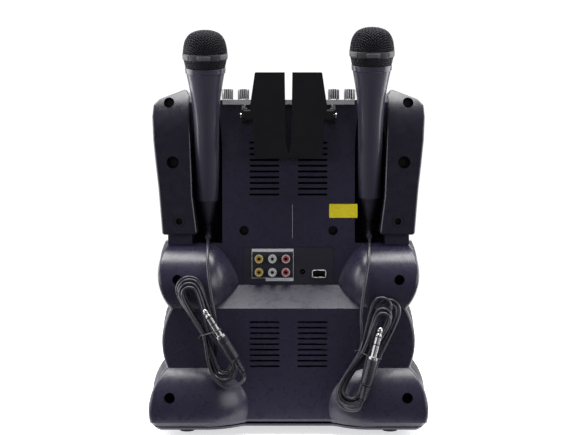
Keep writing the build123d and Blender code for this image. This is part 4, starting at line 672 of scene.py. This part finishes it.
cord_of = {}
for side, word in ((1, "left"), (-1, "right")):
    waist, start, turns = TURNS[side]
    wound = [on_hank(side, *p) for p in laps(start, turns, waist) + LAST[side][:-1]]
    route = ROUTE[side] + wound + [PLUG[side][1]]
    data = bpy.data.curves.new("cord_" + word, "CURVE")
    data.dimensions = "3D"
    spline = data.splines.new("NURBS")
    spline.points.add(len(route) - 1)
    for p, c in zip(spline.points, route):
        p.co = (c[0] * MM, c[1] * MM, c[2] * MM, 1.0)
    spline.order_u = 3
    spline.use_endpoint_u = True
    data.resolution_u = 5
    data.bevel_depth = CORD_D / 2 * MM
    data.bevel_resolution = 3
    data.use_fill_caps = True
    data.materials.append(M["cord"])
    cord = bpy.data.objects.new("cord_" + word, data)
    scene.collection.objects.link(cord)
    cord_of[side] = cord


def centreline(cord):
    """Points of the cord's own spline, in millimetres."""
    copy = cord.copy()
    copy.data = cord.data.copy()
    copy.data.bevel_depth = 0.0
    scene.collection.objects.link(copy)
    bpy.context.view_layer.update()
    me = bpy.data.meshes.new_from_object(copy.evaluated_get(bpy.context.evaluated_depsgraph_get()))
    pts = [v.co * 1000.0 for v in me.vertices]
    bpy.data.objects.remove(copy)
    bpy.data.meshes.remove(me)
    return pts


def stretch_of(pts, start, end, step):
    """Evenly spaced points of a polyline between two lengths along it."""
    out, run, want = [], 0.0, start
    for a, b in zip(pts, pts[1:]):
        d = (b - a).length
        while d > 1e-9 and run + d >= want and want <= end + 1e-6:
            out.append(a.lerp(b, (want - run) / d))
            want += step
        run += d
    return out


def hull(points):
    pts = sorted(set(points))
    if len(pts) < 3:
        return pts

    def half(seq):
        out = []
        for p in seq:
            while len(out) > 1 and ((out[-1][0] - out[-2][0]) * (p[1] - out[-2][1])
                                    - (out[-1][1] - out[-2][1]) * (p[0] - out[-2][0])) <= 0:
                out.pop()
            out.append(p)
        return out
    lower, upper = half(pts), half(reversed(pts))
    return lower[:-1] + upper[:-1]


for side, word in ((1, "left"), (-1, "right")):
    cord = cord_of[side]
    line = centreline(cord)
    total = sum((b - a).length for a, b in zip(line, line[1:]))

    # strain relief boot: tapered sleeve with rings, round the cord's first stretch
    sleeve = stretch_of(line, 0.4, 27.4, 0.45)
    radii = []
    for i in range(len(sleeve)):
        k = i / (len(sleeve) - 1)
        r = 4.35 - 1.75 * k
        r += 0.28 if (i % 8) < 5 else -0.18
        if k > 0.97:
            r = 2.2
        radii.append(r)
    v, f = tube_data(sleeve, radii, 20)
    boot = mesh_piece("boot_" + word, v, f, [M["boot"]])
    sharpen(boot, 50)
    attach(boot, "mic_" + word)

    # plug: nickel tip and shaft with two insulating rings, collar, moulded body, ribbed tail
    tip, tail = Vector(PLUG[side][0]), Vector(PLUG[side][1])
    prof = [(0, 0), (0.9, 0.12), (1.75, 0.9), (2.45, 2.3), (2.72, 3.6), (2.62, 4.6), (2.15, 5.5), (1.95, 6.1), (2.2, 6.8),
            (3.0, 7.7), (3.17, 8.3), (3.17, 9.4), (3.06, 9.45), (3.06, 10.5), (3.17, 10.55), (3.17, 17.4), (3.06, 17.45),
            (3.06, 18.5), (3.17, 18.55), (3.17, 30.4), (3.3, 30.5), (4.75, 30.5), (5.0, 30.75), (5.0, 33.2), (4.8, 33.5),
            (5.1, 33.6), (5.5, 33.9), (5.6, 34.5), (5.6, 39.8), (5.42, 40.0), (5.42, 40.7), (5.6, 40.9), (5.6, 57.0),
            (5.45, 58.0), (5.0, 58.9), (4.1, 59.8), (3.3, 60.2)]
    zones = []
    for (r0, a0), (r1, a1) in zip(prof, prof[1:]):
        mid = (a0 + a1) / 2
        zones.append(1 if (9.4 < mid < 10.55 or 17.4 < mid < 18.55 or mid > 33.55) else 0)
    for i in range(5):
        a = 60.6 + i * 2.7
        r = 3.75 - 0.13 * i
        prof += [(2.75, a), (r - 0.15, a + 0.05), (r, a + 0.25), (r, a + 1.45), (r - 0.15, a + 1.65), (2.75, a + 1.7)]
        zones += [1] * 6
    prof += [(2.6, 73.9), (0, 74.0)]
    zones += [1, 1]
    plug = lathe("plug_" + word, prof, tip, tail - tip, [M["plug_metal"], M["plug_body"]], zones, seg=40)
    outward(plug)
    sharpen(plug, 32)
    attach(plug, "mic_" + word)
    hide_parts("mic_plug_" + word)

    # wire tie round the waist of the hank and over the plug
    waist, start, turns = TURNS[side]
    strands = [start] + [p for t in turns for p in (t[1], t[3])]
    circle = []
    for w, d in strands:
        for k in range(16):
            ang = 2 * pi * k / 16
            circle.append((round(w + 2.45 * cos(ang), 4), round(d + 2.45 * sin(ang), 4)))
    (ts, tw), (es, ew) = ((34.2, 4.8), (107.4, 18.0)) if side == 1 else ((28.9, 1.64), (104.2, 7.9))
    at = (waist - ts) / (es - ts)
    pw, pr = tw + (ew - tw) * at, (3.17 if side == 1 else 3.2)
    for k in range(16):
        ang = 2 * pi * k / 16
        circle.append((round(pw + (pr + 0.75) * cos(ang), 4), round(19.0 + (pr + 0.75) * sin(ang), 4)))
    ring = hull(circle)
    loop = [Vector(on_hank(side, waist, w, d)) for w, d in ring]
    smooth_loop = []
    for i in range(len(loop)):
        a, b = loop[i], loop[(i + 1) % len(loop)]
        n = max(1, int((b - a).length / 1.2))
        smooth_loop += [a.lerp(b, j / n) for j in range(n)]
    parts = [tube_data(smooth_loop, 0.72, 8, closed=True)]
    # its twisted tail, two short ends at the left
    left = min(ring)
    for dw, ds, dd in ((-3.4, 2.6, 1.2), (-2.2, 4.6, -0.4)):
        ends = []
        for j in range(7):
            k = j / 6
            ends.append(Vector(on_hank(side, waist + ds * k * k + 0.7 * sin(5 * k), left[0] + dw * k, left[1] + dd * k)))
        parts.append(tube_data(ends, 0.62, 8))
    v, f = joined(parts)
    tie = mesh_piece("tie_" + word, v, f, [M["tie"]])
    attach(tie, "mic_" + word)

    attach(cord, "mic_" + word)
    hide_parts("mic_cord_" + word, "cord_hank_" + word)
    print("cord", word, "length", round(total, 1), "mm")


# ------------------------------------------------------------------ microphone heads
def profile_curve(points, n):
    """Even samples (r, along, normal r, normal along) of a smooth line through the points."""
    dense = []
    for i in range(len(points) - 1):
        p0 = points[max(0, i - 1)]
        p1, p2 = points[i], points[i + 1]
        p3 = points[min(len(points) - 1, i + 2)]
        for j in range(24):
            t = j / 24
            c = []
            for q in range(2):
                m1, m2 = (p2[q] - p0[q]) / 2, (p3[q] - p1[q]) / 2
                if i == 0:
                    m1 = p2[q] - p1[q] if q == 0 else 0.0
                c.append((2 * t ** 3 - 3 * t ** 2 + 1) * p1[q] + (t ** 3 - 2 * t ** 2 + t) * m1
                         + (-2 * t ** 3 + 3 * t ** 2) * p2[q] + (t ** 3 - t ** 2) * m2)
            dense.append(tuple(c))
    dense.append(points[-1])
    run = [0.0]
    for a, b in zip(dense, dense[1:]):
        run.append(run[-1] + hypot(b[0] - a[0], b[1] - a[1]))
    out, k = [], 0
    for i in range(n + 1):
        want = run[-1] * i / n
        while k < len(run) - 2 and run[k + 1] < want:
            k += 1
        t = (want - run[k]) / max(1e-9, run[k + 1] - run[k])
        a, b = dense[k], dense[k + 1]
        dr, da = b[0] - a[0], b[1] - a[1]
        ln = hypot(dr, da) or 1.0
        out.append((a[0] + dr * t, a[1] + da * t, -da / ln, dr / ln))
    return out, run[-1]


DOME = [(0, 75.3), (7, 74.7), (12.8, 72.8), (16.2, 70.5), (18.3, 67.8), (20.0, 64.5), (21.0, 61.1), (21.6, 57.8), (22.0, 55.1),
        (22.1, 53.4)]
PITCH = 2.45
WIRE_R = 0.42


def weave(name, side):
    """Woven wire head: a square weave drawn over the dome, and a crossed weave on the cone below the ring."""
    prof, reach = profile_curve(DOME, 400)
    d, e1, e2 = basis((0, AY, AZ))
    o = seat(side, 0)

    def at(rho, az, lift):
        k = min(1.0, rho / reach) * 400
        i = min(399, int(k))
        t = k - i
        a, b = prof[i], prof[i + 1]
        r = a[0] + (b[0] - a[0]) * t
        along = a[1] + (b[1] - a[1]) * t
        nr, na = a[2] + (b[2] - a[2]) * t, a[3] + (b[3] - a[3]) * t
        r += nr * lift
        along += na * lift
        return o + d * along + (e1 * cos(az) + e2 * sin(az)) * r

    parts = []
    n = int(reach / PITCH) + 1
    for family in (0, 1):
        for i in range(-n, n):
            c = (i + 0.5) * PITCH
            if abs(c) > reach - 0.5:
                continue
            half = sqrt(reach * reach - c * c)
            count = max(6, int(2 * half / (PITCH / 4)))
            pts = []
            for j in range(count + 1):
                t = -half + 2 * half * j / count
                lift = 0.26 * (-1) ** i * sin(pi * t / PITCH) * (1 if family == 0 else -1)
                u, v = (c, t) if family == 0 else (t, c)
                az = atan2(v, u) + pi / 4
                pts.append(at(hypot(u, v), az, lift))
            parts.append(tube_data(pts, WIRE_R, 5, caps=False))
    # cone between the ring and the collar
    m = 54
    a0, a1, r0, r1 = 38.6, 46.9, 19.95, 21.75
    steps = 15
    for family in (0, 1):
        for i in range(m):
            pts = []
            for j in range(steps + 1):
                k = j / steps
                along = a0 + (a1 - a0) * k
                r = r0 + (r1 - r0) * k
                turn = (along - a0) / 21.0
                az = 2 * pi * i / m + (turn if family else -turn) + (0.5 * pi / m)
                # crossings come every half pitch of the turn
                lift = 0.24 * sin(turn * m) * (1 if family else -1) * (-1) ** i
                pts.append(o + d * along + (e1 * cos(az) + e2 * sin(az)) * (r + lift))
            parts.append(tube_data(pts, WIRE_R, 5, caps=False))
    v, f = joined(parts)
    return mesh_piece(name, v, f, [M["wire"]])


for side, word in ((1, "left"), (-1, "right")):
    body = "mic_" + word
    o, axis = seat(side, 0), (0, AY, AZ)
    mesh = weave("grille_weave_" + word, side)
    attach(mesh, body)
    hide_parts("mic_grille_" + word)

    # black foam liner behind the wire
    prof, _ = profile_curve([(max(0.0, r - 0.9 * r / 22.1), a - 0.9 * (a - 50) / 25.6) for r, a in DOME], 40)
    liner = [(p[0], p[1]) for p in prof] + [(20.6, 50.0), (20.5, 46.6), (18.7, 38.3), (17.5, 38.2)]
    foam = lathe("grille_foam_" + word, liner, o, axis, [M["foam"]], seg=64)
    outward(foam)
    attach(foam, body)

    # ring with six bright pads
    def pad(ang):
        a = (ang - pi / 2) % (pi / 3)
        a = min(a, pi / 3 - a)
        return max(0.0, min(1.0, (radians(17.5) - a) / radians(2.2)))

    seg = 180
    rows = [(22.0, 46.65), (22.7, 46.65), (22.95, 46.9), (23.0, 47.7), (23.01, 48.1), (23.02, 51.6), (23.0, 52.0),
            (22.95, 52.75), (22.6, 53.0), (22.0, 53.0)]

    def ring_radius(r, a, ang):
        return r + (0.56 * pad(ang) if r > 23.005 else 0.0)

    def ring_zone(k):
        return 1 if pad(2 * pi * (k + 0.5) / seg) > 0.4 else 0

    zones = [0, 0, 0, ring_zone, ring_zone, ring_zone, 0, 0, 0, 0]
    ring = lathe("grille_ring_" + word, rows, o, axis, [M["ring"], M["ring_pad"]], zones, seg=seg, closed=True,
                 radius=ring_radius)
    outward(ring)
    sharpen(ring, 30)
    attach(ring, body)
    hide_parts("mic_ring_" + word)

# ------------------------------------------------------------------ control knobs
KNOB_X = (64.4, 47.5, 30.6, -30.6, -47.5, -64.4)
KNOB_Y = 55.0
for i, x in enumerate(KNOB_X):
    z0 = COLUMN_TOP + PANEL_T + 0.5
    ribs, per = 16, 8
    seg = ribs * per

    def ribbed(r, a, ang, ribs=ribs):
        if r < 5.2 or a < 1.0 or a > 11.2:
            return r
        k = (ang * ribs / (2 * pi)) % 1.0
        return r if k < 0.5 else r - 0.62

    # the recessed half of each rib takes the near-black stock: painted shade in the flutes
    def rib_zone(k, per=per):
        return 0 if (k % per) < per // 2 else 1

    rows = [(0, 0), (5.7, 0), (6.0, 0.3), (6.0, 1.2), (6.04, 1.4), (6.04, 10.9), (6.0, 11.15), (5.75, 11.7), (5.2, 12.0),
            (4.6, 12.0), (4.45, 11.85), (0, 11.8)]
    zones = [0, 0, 0, rib_zone, rib_zone, rib_zone, 0, 0, 0, 0, 0]
    knob = lathe(f"knob_top_{i + 1}", rows, (x, KNOB_Y, z0), (0, 0, 1), [M["chrome"], M["groove"]], zones, seg=seg,
                 radius=ribbed)
    outward(knob)
    sharpen(knob, 28)
    v, f = box_data((x - 0.45, KNOB_Y - 5.0, z0 + 11.5), (x + 0.45, KNOB_Y - 1.6, z0 + 11.97), 0.1)
    mark = mesh_piece(f"knob_mark_{i + 1}", v, f, [M["groove"]], smooth=False)
    shaft = lathe(f"knob_shaft_{i + 1}", [(0, -11), (2.6, -11), (3.0, -10.6), (3.0, 0.1), (0, 0.1)], (x, KNOB_Y, z0), (0, 0, 1),
                  [M["rod"]], seg=28)
    for piece in (knob, mark, shaft):
        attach(piece, f"knob_{i + 1}")
    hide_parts(f"control_knob_{i + 1}")


# ------------------------------------------------------------------ small rear details
def plate_data(points, y0, y1, bevel=0.15):
    """Flat plate from an outline of (x, z) points between two y values; its outer rim is softened."""
    n = len(points)
    cx, cz = sum(p[0] for p in points) / n, sum(p[1] for p in points) / n

    def inset(p, d):
        v = Vector((p[0] - cx, p[1] - cz))
        ln = v.length or 1.0
        v *= (ln - d) / ln
        return (cx + v.x, cz + v.y)
    rings = [(y0, 0.0), (y1 - bevel, 0.0), (y1, bevel)]
    verts, faces = [], []
    for y, d in rings:
        for p in points:
            q = inset(p, d)
            verts.append(Vector((q[0], y, q[1])))
    for r in range(len(rings) - 1):
        for k in range(n):
            m = (k + 1) % n
            faces.append((r * n + k, r * n + m, (r + 1) * n + m, (r + 1) * n + k))
    faces.append(tuple(range(2 * n, 3 * n)))
    faces.append(tuple(reversed(range(n))))
    return verts, faces


def rounded(x0, z0, x1, z1, r, n=6):
    pts = []
    for cx, cz, a0 in ((x1 - r, z1 - r, 0), (x0 + r, z1 - r, 90), (x0 + r, z0 + r, 180), (x1 - r, z0 + r, 270)):
        for k in range(n + 1):
            a = radians(a0 + 90 * k / n)
            pts.append((cx + r * cos(a), cz + r * sin(a)))
    return pts


# blank yellow sticker beside the vents
v, f = plate_data(rounded(-72.0, 222.2, -42.5, 236.6, 0.9), UP_Y + 0.01, UP_Y + 0.14, 0.06)
label = outward(mesh_piece("label_blank", v, f, [M["label"]], smooth=False))
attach(label, "housing")

# thin printed rule on the column, nothing else is printed there
v, f = plate_data([(-3.9, 201.0), (-4.25, 201.0), (-4.25, 236.0), (-3.9, 236.0)], UP_Y + 0.01, UP_Y + 0.05, 0.01)
rule = outward(mesh_piece("printed_rule", v, f, [M["ink"]], smooth=False))
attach(rule, "housing")

# bright frame round the phono jacks
PLATE_Y = UP_Y - 1.2 + 0.02 + 0.9


parts = []
for x0, z0, x1, z1 in ((-5.2, 186.5, 38.5, 189.7), (-5.2, 155.9, 23.9, 159.3), (-5.2, 159.3, -4.7, 186.5),
                       (38.0, 159.3, 38.5, 186.5), (23.9, 158.9, 38.5, 159.3)):
    parts.append(box_data((x0, PLATE_Y + 0.01, z0), (x1, PLATE_Y + 0.32, z1), 0.06))
v, f = joined(parts)
jack_frame = outward(mesh_piece("jack_frame", v, f, [M["frame"]], smooth=False))
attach(jack_frame, "housing")

# rolled rim of the metal socket
rim_path = [Vector((p[0], 73.1, p[1])) for p in rounded(-39.0, 159.7, -25.0, 167.2, 1.9, 8)]
v, f = tube_data(rim_path, 0.62, 10, closed=True)
rim = mesh_piece("port_rim", v, f, [M["port"]])
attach(rim, "housing")

# bright tabs of the cradle brackets under the trim
parts = []
for s in (-1, 1):
    outline = [(s * 47.4, 335.4), (s * 45.6, 335.4), (s * 43.0, 335.2), (s * 43.0, 336.4), (s * 45.0, 336.6), (s * 44.6, 340.0),
               (s * 46.2, 340.0)]
    n = len(outline)
    verts = [Vector((x, UP_Y + 1.3, z)) for x, z in outline] + [Vector((x, UP_Y + 2.6, z)) for x, z in outline]
    faces = [tuple(range(n)), tuple(reversed(range(n, 2 * n)))]
    faces += [(k, (k + 1) % n, n + (k + 1) % n, n + k) for k in range(n)]
    parts.append((verts, faces))
v, f = joined(parts)
tabs = outward(mesh_piece("bracket_tabs", v, f, [M["frame"]], smooth=False))
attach(tabs, "housing")

# ------------------------------------------------------------------ floor, light
floor_data = bpy.data.meshes.new("floor")
rim = [(0.95 * cos(2 * pi * k / 96), -0.40 + 0.545 * sin(2 * pi * k / 96), 0.0) for k in range(96)]
floor_data.from_pydata(rim, [], [tuple(range(96))])
floor_ob = bpy.data.objects.new("floor", floor_data)
t = Tree("floor_pale")
t.bsdf.inputs["Emission Color"].default_value = (1.0, 1.0, 1.0, 1.0)
t.bsdf.inputs["Emission Strength"].default_value = 0.60
floor_data.materials.append(t.set(base=t.ramp(t.noise(3.0), [(0.3, (0.86, 0.86, 0.87)), (0.7, (0.89, 0.89, 0.90))]),
                                  rough=0.7, spec=0.2))
scene.collection.objects.link(floor_ob)


def softbox(name, place, target, wide, high, radiance, colour=(1, 1, 1)):
    data = bpy.data.lights.new(name, "AREA")
    data.shape = "RECTANGLE"
    data.size, data.size_y = wide, high
    data.energy = radiance * pi * wide * high
    data.color = colour
    ob = bpy.data.objects.new(name, data)
    ob.location = place
    ob.rotation_euler = (Vector(target) - Vector(place)).to_track_quat("-Z", "Y").to_euler()
    scene.collection.objects.link(ob)
    return ob


softbox("top_box", (0.0, 0.12, 1.9), (0, 0.0, 0.2), 2.2, 1.15, 7.2)
softbox("left_box", (1.15, -0.22, 0.48), (0.0, 0.02, 0.25), 1.15, 0.95, 3.7)
softbox("right_box", (-1.15, -0.22, 0.48), (0.0, 0.02, 0.25), 1.05, 0.95, 3.3)
softbox("fill_left", (1.9, 1.6, 0.55), (0, 0.08, 0.25), 1.6, 1.2, 2.4)
softbox("fill_right", (-1.9, 1.6, 0.55), (0, 0.08, 0.25), 1.6, 1.2, 2.2)
softbox("front_box", (-0.6, -1.9, 1.2), (0.0, -0.1, 0.2), 1.6, 1.2, 1.0)

world = bpy.data.worlds.new("studio")
scene.world = world
world.use_nodes = True
nt = world.node_tree
nt.nodes.clear()
w_out = nt.nodes.new("ShaderNodeOutputWorld")
w_mix = nt.nodes.new("ShaderNodeMixShader")
w_path = nt.nodes.new("ShaderNodeLightPath")
w_seen = nt.nodes.new("ShaderNodeBackground")
w_seen.inputs["Color"].default_value = (1, 1, 1, 1)
w_seen.inputs["Strength"].default_value = 1.05
w_lit = nt.nodes.new("ShaderNodeBackground")
w_coord = nt.nodes.new("ShaderNodeTexCoord")
w_xyz = nt.nodes.new("ShaderNodeSeparateXYZ")
w_map = nt.nodes.new("ShaderNodeMapRange")
w_map.inputs["From Min"].default_value = -1.0
w_map.inputs["From Max"].default_value = 1.0
w_map.inputs["To Min"].default_value = 0.55
w_map.inputs["To Max"].default_value = 0.06
nt.links.new(w_coord.outputs["Generated"], w_xyz.inputs[0])
nt.links.new(w_xyz.outputs["Y"], w_map.inputs["Value"])
nt.links.new(w_map.outputs["Result"], w_lit.inputs["Strength"])
w_lit.inputs["Color"].default_value = (0.98, 0.98, 1.0, 1)
nt.links.new(w_path.outputs["Is Camera Ray"], w_mix.inputs["Fac"])
nt.links.new(w_lit.outputs[0], w_mix.inputs[1])
nt.links.new(w_seen.outputs[0], w_mix.inputs[2])
nt.links.new(w_mix.outputs[0], w_out.inputs["Surface"])
scene.view_settings.view_transform = "Standard"
